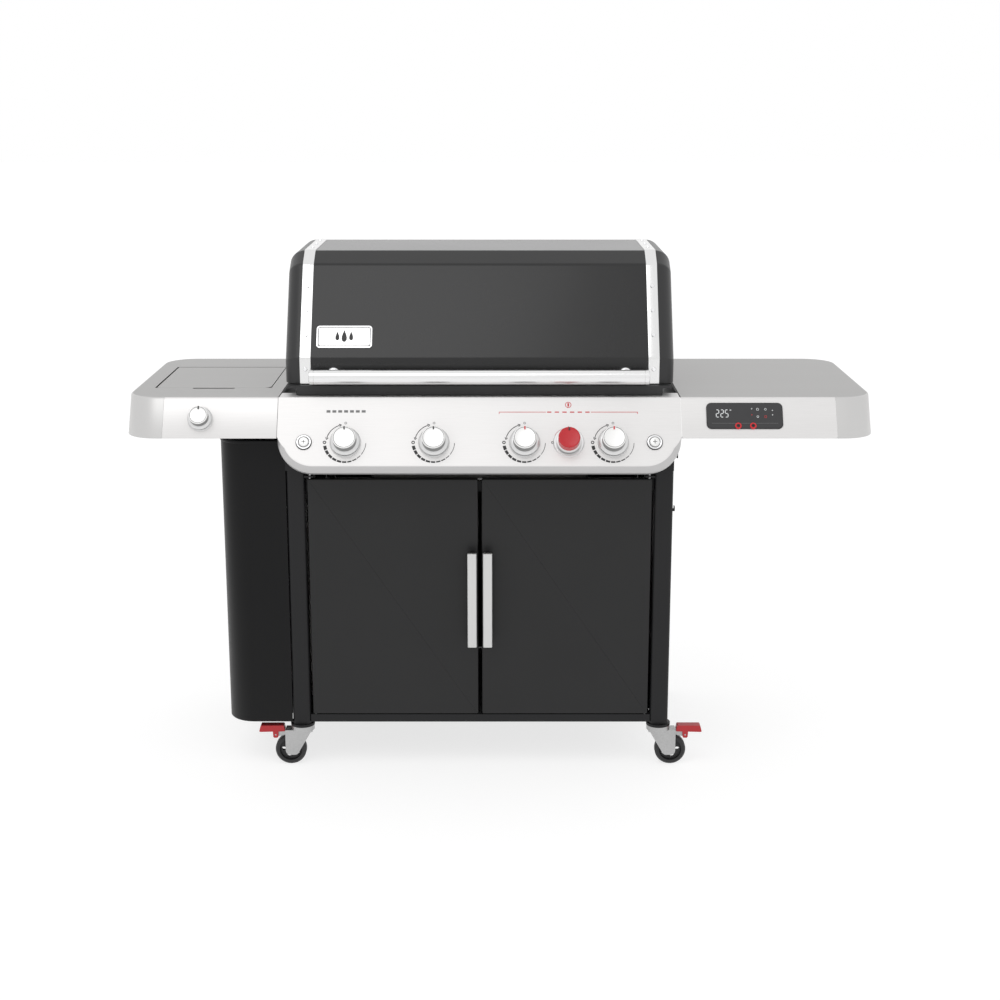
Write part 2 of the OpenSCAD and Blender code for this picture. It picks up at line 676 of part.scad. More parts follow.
module left_table() placed() color("lightgray") difference() {
    mirror([1, 0, 0]) table_top_and_front(left_in);
    block([burn_x0, burn_y0, table_h - 10], [burn_x1, burn_y1, table_h + 5]);
    // finger notch in front of the burner lid
    block([notch_x0, burn_y0 - 12, table_h - 10], [notch_x1, burn_y0 + 1, table_h + 5]);
    on_slope(side_knob_x, side_knob_s) translate([0, 0, -10]) cylinder(r = stem_r + 3, h = 20);
}

module right_table() placed() color("lightgray") difference() {
    table_top_and_front(right_in);
    on_slope(display_x, display_s) translate([0, 0, -20]) linear_extrude(40)
        round_rect(display_w - 8, 54, 8);
}

// Plan path round the end of a table, moved inward by d, its front moved forward by fwd
function cap_path(fwd, d) =
    let (x0 = cap_from + 0.3, x1 = half_w - d, y0 = d - fwd, y1 = table_d - d, r = corner_r - d)
    concat([[x0, y0]], corner([x0, y0], [x1, y0], [x1, y1], r, 8),
        corner([x1, y0], [x1, y1], [x0, y1], r, 8), [[x0, y1]]);

// Wall that runs round the end of a table, from the top plate down to the lower edge
module end_cap() {
    fwd_top = sheet / cos_s * sin_s;
    rings = [[cap_path(fwd_top, 0), table_h - sheet], [cap_path(table_fwd, 0), table_low],
        [cap_path(table_fwd, sheet), table_low], [cap_path(fwd_top, sheet), table_h - sheet]];
    m = len(rings[0][0]);
    points = [for (i = [0 : m - 1], r = rings) [r[0][i].x, r[0][i].y, r[1]]];
    polyhedron(points, concat([[0, 1, 2, 3]],
        [for (i = [0 : m - 2], k = [0 : 3]) let (j = (k + 1) % 4, a = 4 * i, b = 4 * i + 4)
            each [[a + k, b + k, b + j], [a + k, b + j, a + j]]],
        [[for (k = [3 : -1 : 0]) 4 * (m - 1) + k]]));
}

module table_end_caps() placed() color("silver") for (side = [0, 1]) mirror([side, 0, 0]) end_cap();

module display_module() placed() color("#181818") on_slope(display_x, display_s) difference() {
    union() {
        linear_extrude(3) round_rect(display_w, 64, 12);
        translate([0, 0, -20]) linear_extrude(21) round_rect(display_w - 10, 52, 7);
        for (x = port_xs) translate([x, -25, 0]) cylinder(r = 7.5, h = 6);
    }
    for (x = port_xs) translate([x, -25, -9]) cylinder(r = 1.8, h = 20);
}

// ---- Side burner ----

module side_burner() placed() color("silver") {
    // well under the flush lid, with its flange, drain and burner hole
    difference() {
        block([burn_x0 - 2, burn_y0 - 16, well_z], [burn_x1 + 2, burn_y1 + 2, table_h - sheet - 0.1]);
        block([burn_x0, burn_y0 - 14, well_z + 2], [burn_x1, burn_y1, table_h]);
        for (x = [burn_x0 - 5, burn_x1 - 5]) translate([x, burn_pin_y, burn_pin_z])
            rotate([0, 90, 0]) cylinder(r = burn_pin_r, h = 10);
        translate([pot_x, pot_y, well_z - 5]) cylinder(r = 15, h = 20);
    }
    // floor of the finger notch
    block([notch_x0, burn_y0 - 15, table_h - 16], [notch_x1, burn_y0 - 1, table_h - 14]);
    // burner pipe, riser, head and cap
    translate([pot_x, 12, table_h - 67]) rotate([-90, 0, 0]) cylinder(r = 7, h = pot_y - 12);
    translate([pot_x, pot_y, table_h - 76]) cylinder(r = 14, h = 26);
    translate([pot_x, pot_y, well_z + 2.1]) rotate_extrude()
        polygon([[0, 0], [34, 0], [42, 10], [44, 18], [40, 22], [26, 22], [22, 27], [0, 27]]);
    // pot supports: four bars on a frame
    for (a = [0 : 90 : 270]) translate([pot_x, pot_y, 0]) rotate(a + 45)
        block([50, -3, well_z + 2], [122, 3, table_h - 14]);
    // valve of the side knob
    on_slope(side_knob_x, side_knob_s) valve_body(manifold_depth);
}

module side_burner_lid() placed() color("lightgray") difference() {
    union() {
        translate([0, 0, table_h - sheet]) linear_extrude(sheet)
            polygon(rounded([[burn_x0 + 4, burn_y0 + 1], [burn_x1 - 2, burn_y0 + 1],
                [burn_x1 - 2, burn_pin_y + 2], [burn_x0 + 4, burn_pin_y + 2]], [10, 18, 2, 2]));
        for (x = [burn_x0 + 4, burn_x1 - 4])
            translate([x, 0, 0]) block([-1, burn_y0 + 26, table_h - 10], [1, burn_pin_y + 2, table_h - 1]);
    }
    for (x = [burn_x0 - 5, burn_x1 - 15]) translate([x, burn_pin_y, burn_pin_z])
        rotate([0, 90, 0]) cylinder(r = burn_pin_r + run_fit, h = 20);
}

module badge_plate() placed() color("silver") {
    a = lid_points(0)[6];
    b = lid_points(0)[5];
    lean = atan2(b.x - a.x, b.y - a.y);
    translate([cab_x - 315, a.x + 53 * sin(lean), a.y + 53 * cos(lean) + lid_z]) rotate([90 - lean, 0, 0])
        linear_extrude(3) round_rect(130, 56, 8);
}

// ---- Doors ----

// Left door drawn from its pin: a folded sheet pan with solid hinge corners
module door(w) {
    difference() {
        union() {
            difference() {
                block([-6, 0, door_z], [w - 6, door_t, door_top]);
                block([-4.5, 1.5, door_z + 1.5], [w - 7.5, door_t + 1, door_top - 1.5]);
            }
            for (z = [door_z, door_top - 14]) block([-6, 0, z], [12, door_t, z + 14]);
        }
        translate([0, door_t / 2, door_z - 1]) cylinder(r = door_pin_r + run_fit, h = 11);
        translate([0, door_t / 2, door_top - 10]) cylinder(r = door_pin_r + run_fit, h = 11);
    }
}

module door_left() placed() color("#2b2b2b") translate([cab_x - door_pin_x, 0, 0]) door(door_w);
module door_right() placed() color("#2b2b2b") translate([cab_x + door_pin_x, 0, 0])
    mirror([1, 0, 0]) door(door_w);

handle_low = door_z + 182;
handle_len = 230;
grip_x = door_gap / 2 + 13.8;

module door_handle(x) {
    translate([x, -36, handle_low]) linear_extrude(handle_len) round_rect(22, 12, 4);
    for (z = [handle_low + 5, handle_low + handle_len - 17])
        block([x - 7, -34, z], [x + 7, 0, z + 12]);
}
module door_handle_left() placed() color("silver") door_handle(cab_x - grip_x);
module door_handle_right() placed() color("silver") door_handle(cab_x + grip_x);

// ---- Grease tray ----

module grease_tray() placed() color("silver") difference() {
    block([cab_x - tray_half, 44, tray_z], [cab_x + tray_half, 500, tray_z + 30]);
    block([cab_x - tray_half + sheet, 44 + sheet, tray_z + sheet],
        [cab_x + tray_half - sheet, 500 - sheet, tray_z + 31]);
    translate([cab_x, box_mid, tray_z - 5]) cylinder(r = 30, h = 20);
}

module catch_pan() placed() color("gainsboro") difference() {
    block([cab_x - 90, box_mid - 70, tray_z - 52], [cab_x + 90, box_mid + 70, tray_z]);
    block([cab_x - 88.5, box_mid - 68.5, tray_z - 50.5], [cab_x + 88.5, box_mid + 68.5, tray_z + 1]);
}

// ---- Lid ----

// Section of the lid, Y across and Z up, its lower edge moved down by e
function lid_points(e) =
    let (y0 = lid_front, y1 = lid_back, h = lid_h)
    [[y0, -e], [y1, -e], [y1, h - 54], [y1 - 56, h], [y0 + 172, h], [y0 + 123, h - 27.5], [y0, 60]];
lid_radii = [0, 0, 40, 40, 14, 20, 12];

// The section moved inward by d, with its lower edge kept at height 0
module lid_section(d, e = 0)
    polygon(rounded(inset(lid_points(d + e), d), tighter(lid_radii, d)));

module lid_shell() placed() color("#1c1c1c") difference() {
    union() {
        translate([0, 0, lid_z]) difference() {
            along_x(cab_x - lid_half, 2 * lid_half) lid_section(0);
            along_x(cab_x - lid_half - 1, 2 * lid_half + 2) lid_section(3, 5);
        }
        // hinge knuckles
        both_sides() {
            translate([lid_hinge_x - 12, lid_hinge_y, lid_hinge_z]) rotate([0, 90, 0])
                cylinder(r = lug_r - 1, h = 24);
            block([lid_hinge_x - 12, lid_back - 1, lid_hinge_z + 8],
                [lid_hinge_x + 12, lid_hinge_y + 4, lid_hinge_z + 30]);
        }
    }
    both_sides() translate([lid_hinge_x - 30, lid_hinge_y, lid_hinge_z]) rotate([0, 90, 0])
        cylinder(r = lid_pin_r + run_fit, h = 60);
}

round_n = 8;
module lid_end_castings() placed() color("#484848") translate([0, 0, lid_z]) both_sides() difference() {
    hull() for (i = [0 : round_n])
        let (a = 90 * i / round_n)
        along_x(lid_half + casting_w * sin(a) - (i == round_n ? 0.4 : 0), 0.4)
            lid_section(casting_w * (1 - cos(a)));
    for (h = [[8, 6], [casting_w - 13, 13], [casting_w - 5, 21]]) along_x(lid_half - 1, h[0])
        lid_section(h[1], 5);
}

module lid_trim() placed() color("silver") translate([0, 0, lid_z]) both_sides() along_x(strip_in, 26)
    intersection() {
        difference() {
            polygon(rounded(inset(lid_points(5), -2), [for (r = lid_radii) r > 0 ? r + 2 : 0]));
            polygon(rounded(lid_points(9), lid_radii));
        }
        square([lid_back - 62, lid_h + 9]);
    }

// Button screw on the lid's section at fraction f from corner i to corner i + 1
module lid_screw(i, f) {
    a = lid_points(0)[i];
    b = lid_points(0)[(i + 1) % 7];
    p = a + (b - a) * f;
    d = unit(b - a);
    translate([lid_half - 13, p.x, p.y + lid_z]) rotate([atan2(-d.y, -d.x), 0, 0]) {
        translate([0, 0, 2]) cylinder(r1 = 5.5, r2 = 4, h = 2.5);
        translate([0, 0, -5]) cylinder(r = 2.5, h = 8);
    }
}

module lid_screws() placed() color("gainsboro") both_sides() {
    for (f = [0.24, 0.5, 0.76]) lid_screw(5, f);
    for (f = [0.2, 0.5, 0.8]) lid_screw(3, f);
    lid_screw(6, 0.42);
}

module lid_handle() placed() color("silver") translate([cab_x, handle_y, handle_z]) difference() {
    rotate([0, 90, 0]) cylinder(d = handle_d, h = 2 * handle_half, center = true);
    rotate([0, 90, 0]) cylinder(d = handle_d - 4, h = 2 * handle_half - 16, center = true);
    for (x = [-post_x, post_x]) translate([x, 0, 0]) rotate([-90, 0, 0]) cylinder(r = 4, h = 30);
}

module handle_brackets() placed() color("silver")
    for (x = [-post_x, post_x]) translate([cab_x + x, lid_front, handle_z]) {
        difference() {
            rotate([90, 0, 0]) rotate_extrude()
                polygon([[0, 0], [18.5, 0], [18.5, 4], [15, 8], [12.5, 16], [12.5, 45], [0, 45]]);
            translate([0, handle_y - lid_front, 0]) rotate([0, 90, 0])
                cylinder(d = handle_d, h = 60, center = true);
        }
        translate([0, handle_y - lid_front + handle_d / 2 + 1, 0]) rotate([90, 0, 0])
            cylinder(r = 4, h = 3);
    }

// ---- Casters ----

// Fork drawn about its swivel axis, trailing towards +X
module fork(brake) {
    // kingpin, ball race and crown
    translate([0, 0, leg_z - 8]) cylinder(r = kingpin_r, h = 28);
    translate([0, 0, leg_z - 16]) cylinder(r = 28, h = 11.4);
    block([-24, -wheel_w / 2 - 4.5, leg_z - 20], [trail + 12, wheel_w / 2 + 4.5, leg_z - 15]);
    for (side = [0, 1]) mirror([0, side, 0]) translate([0, wheel_w / 2 + 4.5, 0]) rotate([90, 0, 0])
        linear_extrude(3) polygon(rounded([[-22, leg_z - 16], [trail - 16, wheel_d / 2 - 12],
            [trail + 12, wheel_d / 2 - 12], [trail + 12, leg_z - 16]], [2, 11, 11, 2]));
    translate([trail, 0, wheel_d / 2]) rotate([90, 0, 0])
        cylinder(r = axle_r, h = wheel_w + 8, center = true);
    if (brake) {
        // tongue that carries the brake lever, with its pin
        translate([0, 5.5, 0]) rotate([90, 0, 0]) linear_extrude(11)
            polygon(rounded([[trail + 6, wheel_d + 2], [trail + 18, wheel_d - 3],
                [lever_x - 4, lever_z - 6], [lever_x + 7, lever_z - 6], [lever_x + 7, lever_z + 6],
                [trail + 12.4, leg_z - 21], [trail + 12, leg_z - 18], [trail + 6, leg_z - 18]],
                [0, 0, 0, 5.5, 5.5, 0, 0, 0]));
        translate([lever_x, 0, lever_z]) rotate([90, 0, 0])
            cylinder(r = lever_pin_r, h = 21, center = true);
    }
}

// Tyre and spoked hub about its own axle along Y
module wheel() rotate([90, 0, 0]) difference() {
    union() {
        rotate_extrude() polygon([[27, -wheel_w / 2], [wheel_d / 2 - 4, -wheel_w / 2],
            [wheel_d / 2, -wheel_w / 2 + 5], [wheel_d / 2, wheel_w / 2 - 5],
            [wheel_d / 2 - 4, wheel_w / 2], [27, wheel_w / 2], [24.5, 0]]);
        translate([0, 0, -wheel_w / 2]) cylinder(r = 9, h = wheel_w);
        translate([0, 0, -5]) cylinder(r = 26.5, h = 10);
    }
    translate([0, 0, -wheel_w]) cylinder(r = axle_r + run_fit, h = 2 * wheel_w);
    for (a = [0 : 72 : 288]) rotate(a) translate([17.5, 0, -20]) linear_extrude(40) round_rect(11, 9, 4);
}

// Foot lever about its pin, reaching outward along +X
module brake_lever() difference() {
    union() {
        translate([0, 11, 0]) rotate([90, 0, 0]) linear_extrude(22)
            polygon(rounded([[-23, 9], [36, 7.5], [40, 8.5], [36, 24], [-20, 24]], [2, 1, 1, 3, 3]));
        for (y = [6, -11]) translate([0, y + 5, 0]) rotate([90, 0, 0]) linear_extrude(5)
            polygon(rounded([[-6, -7.5], [6, -7.5], [7, 12], [-7, 12]], [4, 4, 0, 0]));
    }
    rotate([90, 0, 0]) cylinder(r = lever_pin_r + run_fit, h = 60, center = true);
}

// Puts a caster part, drawn about its swivel axis, under the leg on side sx and row y
module at_caster(sx, y) placed() translate([cab_x + sx * swivel_x, y, 0])
    mirror([sx < 0 ? 1 : 0, 0, 0]) children();
module at_wheel(sx, y) at_caster(sx, y) translate([trail, 0, wheel_d / 2]) children();
module at_lever(sx) at_caster(sx, swivel_y) translate([lever_x, 0, lever_z]) children();

module fork_front_left() color("silver") at_caster(-1, swivel_y) fork(true);
module fork_front_right() color("silver") at_caster(1, swivel_y) fork(true);
module fork_rear_left() color("silver") at_caster(-1, swivel_back) fork(false);
module fork_rear_right() color("silver") at_caster(1, swivel_back) fork(false);
module wheel_front_left() color("#222222") at_wheel(-1, swivel_y) wheel();
module wheel_front_right() color("#222222") at_wheel(1, swivel_y) wheel();
module wheel_rear_left() color("#222222") at_wheel(-1, swivel_back) wheel();
module wheel_rear_right() color("#222222") at_wheel(1, swivel_back) wheel();
module brake_lever_left() color("firebrick") at_lever(-1) brake_lever();
module brake_lever_right() color("firebrick") at_lever(1) brake_lever();

cart_frame();
base_pan();
back_panel();
side_panel();
tank_shroud();
tank_bracket();
gas_cylinder();
cylinder_handwheel();
gas_hoses();
hinge_pins();
firebox();
gas_manifold();
burner_tubes();
heat_tents();
cooking_grates();
warming_rack();
control_panel();
knob_bezels();
panel_screws();
left_table();
right_table();
table_end_caps();
side_burner();
display_module();
door_left();
door_handle_left();
door_right();
door_handle_right();
grease_tray();
catch_pan();
lid_shell();
lid_end_castings();
lid_trim();
lid_screws();
lid_handle();
handle_brackets();
badge_plate();
side_burner_lid();
burner_knob_1();
burner_knob_2();
burner_knob_3();
burner_knob_4();
sear_knob();
side_knob();
valve_stem_1();
valve_stem_2();
valve_stem_3();
valve_stem_4();
sear_stem();
side_stem();
fork_front_left();
fork_front_right();
fork_rear_left();
fork_rear_right();
wheel_front_left();
wheel_front_right();
wheel_rear_left();
wheel_rear_right();
brake_lever_left();
brake_lever_right();
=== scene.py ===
"""Gas barbecue grill on a four-caster cart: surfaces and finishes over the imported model.

Lengths are in metres. X runs left to right, Y front to back and Z up.
"""
import math

import bmesh
import bpy
import numpy as np
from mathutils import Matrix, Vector
from mathutils.geometry import tessellate_polygon


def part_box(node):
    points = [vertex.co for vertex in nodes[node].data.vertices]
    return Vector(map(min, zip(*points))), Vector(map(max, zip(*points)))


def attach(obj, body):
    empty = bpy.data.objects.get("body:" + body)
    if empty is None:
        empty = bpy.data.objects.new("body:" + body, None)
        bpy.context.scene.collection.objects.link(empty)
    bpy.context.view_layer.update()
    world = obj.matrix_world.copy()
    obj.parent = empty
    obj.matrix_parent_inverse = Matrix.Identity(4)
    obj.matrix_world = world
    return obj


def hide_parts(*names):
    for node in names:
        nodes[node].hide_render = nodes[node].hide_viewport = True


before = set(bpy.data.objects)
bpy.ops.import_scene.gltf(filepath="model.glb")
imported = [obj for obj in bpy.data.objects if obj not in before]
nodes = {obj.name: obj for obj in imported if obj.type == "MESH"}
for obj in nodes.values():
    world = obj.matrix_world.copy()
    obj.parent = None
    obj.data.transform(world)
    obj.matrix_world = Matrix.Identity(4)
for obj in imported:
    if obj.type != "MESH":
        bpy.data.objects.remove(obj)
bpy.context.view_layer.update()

# ---- Places and sizes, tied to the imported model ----

TABLE_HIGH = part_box("right_table")[1]
PANEL_LOW, PANEL_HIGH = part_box("control_panel")
TOP = TABLE_HIGH[2]
DEPTH = 0.565
EDGE = TABLE_HIGH[1] - DEPTH
CAB = (PANEL_LOW[0] + PANEL_HIGH[0]) / 2
HALF_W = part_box("table_end_caps")[1][0]
PANEL_HALF = (PANEL_HIGH[0] - PANEL_LOW[0]) / 2
SLOPE = math.radians(31)
SIN, COS = math.sin(SLOPE), math.cos(SLOPE)
FASCIA = 0.101
TABLE_IN = PANEL_HALF + 0.001
CORNER_R = 0.076
CAP_FROM = HALF_W - 0.0905
SHEET = 0.002

LID_HALF = 0.418
LID_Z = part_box("lid_end_castings")[0][2]
LID_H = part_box("lid_end_castings")[1][2] - LID_Z
LID_FRONT, LID_BACK = 0.041, 0.562
CASTING_W = 0.036
STRIP_IN = LID_HALF - 0.026
HANDLE_Y = LID_FRONT - 0.045
HANDLE_Z = LID_Z + 0.023
HANDLE_R = 0.0175
HANDLE_HALF = STRIP_IN - 0.0005
POST_X = HANDLE_HALF - 0.053
HINGE_X, HINGE_Y, HINGE_Z = 0.380, LID_BACK + 0.014, LID_Z - 0.006

KNOB_S = 0.110
BURNER_XS = [-0.307, -0.104, 0.104, 0.307]
SEAR_X = 0.205
SIDE_KNOB_X, SIDE_KNOB_S = -0.689, 0.054
KNOB_BASE, KNOB_OUT = 0.008, 0.038
SCREW_X = PANEL_HALF - 0.0622
DISPLAY_X, DISPLAY_S = 0.5632, 0.046
PORT_XS = [-0.0158, 0.0184]

BURN_X0, BURN_X1, BURN_Y0, BURN_Y1 = -0.821, -0.543, 0.127, 0.4275
BURN_PIN_Y = 0.421
NOTCH_X0, NOTCH_X1 = -0.730, -0.630

DOOR_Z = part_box("door_left")[0][2]
DOOR_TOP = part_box("door_left")[1][2]
DOOR_GAP, DOOR_T = 0.009, 0.016
DOOR_PIN_X = 0.3975
LEG_X = 0.4315
SHROUD_X = -0.658
SHROUD_TOP = TOP - 0.101
CAB_D = 0.540


# ---- Outlines and surfaces ----

def unit(v):
    """Each row divided by its length."""
    return v / np.linalg.norm(v, axis=-1, keepdims=True)


def rounded(points, radii, n=8, guard=0.0008):
    """Closed outline with round corners. A corner of radius r becomes an arc whose centre lies
    r / sin(half the corner's angle) along the corner's bisector, with one more point just before
    and after it, so that the flats stay flat when they are shaded."""
    b = np.array(points, float)
    r = np.maximum(np.array(radii, float), 1e-4)
    u = unit(np.roll(b, 1, 0) - b)
    v = unit(np.roll(b, -1, 0) - b)
    half = np.arccos(np.clip((u * v).sum(1), -1, 1)) / 2
    reach = (r / np.tan(half))[:, None]
    p, q = b + u * reach, b + v * reach
    o = b + unit(u + v) * (r / np.sin(half))[:, None]
    start = np.arctan2(p[:, 1] - o[:, 1], p[:, 0] - o[:, 0])
    end = np.arctan2(q[:, 1] - o[:, 1], q[:, 0] - o[:, 0])
    turn = (end - start + np.pi) % (2 * np.pi) - np.pi
    a = start[:, None] + turn[:, None] * np.linspace(0, 1, n + 1)
    arc = o[:, None] + r[:, None, None] * np.stack([np.cos(a), np.sin(a)], -1)
    return np.concatenate([(p + u * guard)[:, None], arc, (q + v * guard)[:, None]], 1).reshape(-1, 2)


def moved_in(line, d):
    """Closed anticlockwise outline moved inward by d: each point goes along the sum of its two
    sides' normals, over one plus their product."""
    side = unit(np.roll(line, -1, 0) - line)
    after = np.stack([-side[:, 1], side[:, 0]], 1)
    before = np.roll(after, 1, 0)
    return line + d * (before + after) / (1 + (before * after).sum(1))[:, None]


def box_line(x0, x1, y0, y1, r, n=8):
    """Rectangle with round corners, anticlockwise."""
    return rounded([[x0, y0], [x1, y0], [x1, y1], [x0, y1]], np.broadcast_to(r, 4), n)


def edge(low, high, r, n=4):
    """Insets and heights up a slab's side, with both edges a quarter circle of radius r: the inset
    is r (1 - sin t) and the height r (1 - cos t), with one more ring on each flat."""
    t = np.linspace(0, np.pi / 2, n + 1)
    d, h = r * (1 - np.sin(t)), r * (1 - np.cos(t))
    return ([(r + 8e-4, low)] + list(zip(d, low + h))
            + list(zip(d[::-1], high - h[::-1])) + [(r + 8e-4, high)])


def here(x, y, z):
    """Points measured from the tables' front edge and the floor, in the model's frame."""
    x, y, z = np.broadcast_arrays(x, y, z)
    return np.stack([x, y + EDGE, z], -1)


def on_slope(x, s, h):
    """Points on the sloped front: x across, s down the slope and h out of it. The slope's foot
    vector is (-sin, -cos) and its outward normal (-cos, sin)."""
    return here(x, -s * SIN - h * COS, TOP - s * COS + h * SIN)


def slope_frame(x, s, h=0.0):
    """Origin and axes of a spot on the slope: across, up the slope, outward."""
    return on_slope(x, s, h), np.array([1.0, 0, 0]), np.array([0, SIN, COS]), np.array([0, -COS, SIN])


def frame_at(x, y, z, ex, ey, ez):
    """Origin and axes of a frame given by its three axes."""
    return here(x, y, z), np.array(ex, float), np.array(ey, float), np.array(ez, float)


def placed(p, spot):
    """Points p in a frame's own axes, put in the model's frame."""
    o, ex, ey, ez = spot
    return o + p[..., :1] * ex + p[..., 1:2] * ey + p[..., 2:3] * ez


def turned(profile, n=64):
    """Surface of revolution: each (radius, height) of the profile goes round the local Z."""
    a = np.linspace(0, 2 * np.pi, n, endpoint=False)
    r, z = np.array(profile, float).T
    return np.stack([r[:, None] * np.cos(a), r[:, None] * np.sin(a),
                     np.broadcast_to(z[:, None], (len(z), n))], -1)


class Shape:
    """One piece's patches of quads and flat faces, each with the number of its finish."""

    def __init__(self):
        self.points, self.faces, self.kinds, self.count = [], [], [], 0

    def grid(self, p, ends=True, kind=0, rows=False):
        """Quads between neighbours of p[i, j], where j goes all the way round and ends fills the
        first and last row with a flat face. With rows, i closes on itself as well."""
        m, n = p.shape[:2]
        index = self.count + np.arange(m * n).reshape(m, n)
        following = np.roll(index, -1, 1)
        low, low_n = index[:-1], following[:-1]
        high, high_n = index[1:], following[1:]
        quads = np.stack([low, low_n, high_n, high], -1).reshape(-1, 4).tolist()
        if rows:
            quads += np.stack([index[-1], following[-1], following[0], index[0]], -1).tolist()
        elif ends:
            quads += [index[0][::-1].tolist(), index[-1].tolist()]
        self.points.append(p.reshape(-1, 3))
        self.faces += quads
        self.kinds += [kind] * len(quads)
        self.count += m * n
        return self

    def recolour(self, first, rows, n, kind):
        """Gives whole rows of a patch with n columns, whose faces begin at first, another finish."""
        for row in rows:
            self.kinds[first + row * n: first + (row + 1) * n] = [kind] * n

    def slab(self, outline, levels, place, kind=0):
        """Outline carried through the levels, each an inset and a height, and set by place."""
        rings = [moved_in(outline, d) for d, _ in levels]
        p = np.stack([np.concatenate([g, np.full((len(g), 1), z)], 1) for g, (_, z) in zip(rings, levels)])
        return self.grid(place(p), kind=kind)

    def lathe(self, profile, spot, n=64, kind=0):
        """Profile of (radius, height) turned about a spot's outward axis."""
        return self.grid(placed(turned(profile, n), spot), kind=kind)

    def block(self, low, high, r=0.0008, kind=0):
        """Box between two corners, measured from the tables' front edge, with rounded edges."""
        (x0, y0, z0), (x1, y1, z1) = low, high
        return self.slab(box_line(x0, x1, y0, y1, r, 2), edge(z0, z1, r, 2),
                         lambda p: here(*np.moveaxis(p, -1, 0)), kind)

    def build(self, name, finishes, body="root", stands=(), slot=None, crease=35):
        """Makes the mesh, turns its faces outward, shades it and lets it ride on its body."""
        mesh = bpy.data.meshes.new(name)
        mesh.from_pydata(np.concatenate(self.points).tolist(), [], self.faces)
        mesh.polygons.foreach_set("material_index", self.kinds)
        bm = bmesh.new()
        bm.from_mesh(mesh)
        bmesh.ops.remove_doubles(bm, verts=bm.verts, dist=1e-6)
        bmesh.ops.recalc_face_normals(bm, faces=bm.faces)
        bm.to_mesh(mesh)
        bm.free()
        mesh.shade_smooth()
        mesh.set_sharp_from_angle(angle=math.radians(crease))
        for f in finishes:
            mesh.materials.append(f)
        piece = bpy.data.objects.new(name, mesh)
        bpy.context.scene.collection.objects.link(piece)
        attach(piece, body)
        if stands:
            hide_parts(*stands)
        return piece


# ---- Shader maths ----

class Value:
    """A socket in a finish; arithmetic on it adds Math nodes."""

    def __init__(self, finish, socket):
        self.finish, self.socket = finish, socket

    def _with(self, operation, a, b):
        return self.finish.node("ShaderNodeMath", {"operation": operation}, {0: a, 1: b})

    def __add__(self, other):
        return self._with("ADD", self, other)

    def __radd__(self, other):
        return self._with("ADD", other, self)

    def __sub__(self, other):
        return self._with("SUBTRACT", self, other)

    def __rsub__(self, other):
        return self._with("SUBTRACT", other, self)

    def __mul__(self, other):
        return self._with("MULTIPLY", self, other)

    def __rmul__(self, other):
        return self._with("MULTIPLY", other, self)

    def __truediv__(self, other):
        return self._with("DIVIDE", self, other)

    def __rtruediv__(self, other):
        return self._with("DIVIDE", other, self)

    def __pow__(self, other):
        return self._with("POWER", self, other)


class Finish:
    """One material: a Principled shader with constants on its sockets, and patterns linked to it."""

    def __init__(self, name, base, **sockets):
        self.material = bpy.data.materials.new(name)
        self.material.use_nodes = True
        self.tree = self.material.node_tree
        self.shader = self.tree.nodes["Principled BSDF"]
        self.set(Base_Color=base, **sockets)
        self.where = None

    def set(self, **sockets):
        for key, value in sockets.items():
            socket = self.shader.inputs[key.replace("_", " ")]
            if isinstance(value, Value):
                self.tree.links.new(value.socket, socket)
            elif socket.type == "RGBA":
                socket.default_value = (*value, 1) if len(value) == 3 else value
            else:
                socket.default_value = value
        return self

    def node(self, kind, settings=None, inputs=None, out=0):
        """A node of any kind: its settings first, then values or links for its sockets."""
        n = self.tree.nodes.new(kind)
        for key, value in (settings or {}).items():
            if key == "stops":
                ramp = n.color_ramp.elements
                for e, (pos, grey) in zip(list(ramp) + [ramp.new(0.5) for _ in value[2:]], value):
                    e.position, e.color = pos, (grey, grey, grey, 1)
            else:
                setattr(n, key, value)
        for key, value in (inputs or {}).items():
            if isinstance(value, Value):
                self.tree.links.new(value.socket, n.inputs[key])
            else:
                n.inputs[key].default_value = value
        return Value(self, n.outputs[out])

    def coords(self, stretch=(1, 1, 1)):
        """Object coordinates, stretched along the axes."""
        if self.where is None:
            self.where = self.node("ShaderNodeTexCoord", out="Object")
        return self.node("ShaderNodeMapping", None, {"Vector": self.where, "Scale": stretch})

    def noise(self, scale, detail=2.0, stretch=(1, 1, 1), rough=0.5):
        """Noise of a scale in cycles a metre, from 0 to 1."""
        return self.node("ShaderNodeTexNoise", None,
                         {"Vector": self.coords(stretch), "Scale": scale, "Detail": detail, "Roughness": rough})

    def mix(self, share, a, b):
        """Colour a where share is 0 and b where it is 1."""
        a = (*a, 1) if isinstance(a, tuple) else a
        b = (*b, 1) if isinstance(b, tuple) else b
        return self.node("ShaderNodeMix", {"data_type": "RGBA"}, {0: share, 6: a, 7: b}, out=2)

    def ramp(self, value, low, high):
        """0 below low and 1 above high, straight between."""
        return self.node("ShaderNodeMapRange", None, {"Value": value, "From Min": low, "From Max": high})

    def bump(self, height, depth, strength=1.0):
        """Relief of a depth in metres."""
        return self.node("ShaderNodeBump", None, {"Height": height, "Distance": depth, "Strength": strength})


def painted(name, colour, rough, speck=0.25, grain=900, depth=0.00006, coat=0.0, gloss=0.3):
    """Sprayed and baked paint: a fine orange-peel relief and a faint change of tone."""
    f = Finish(name, colour, Roughness=rough, Coat_Weight=coat, Coat_Roughness=0.12, Specular_IOR_Level=gloss)
    peel = f.noise(grain, 3)
    cloud = f.noise(6, 3)
    tone = tuple(c * (1 - speck) for c in colour)
    f.set(Base_Color=f.mix(cloud, tone, colour), Roughness=rough - 0.04 + peel * 0.06 + cloud * 0.03,
          Normal=f.bump(peel, depth))
    return f.material


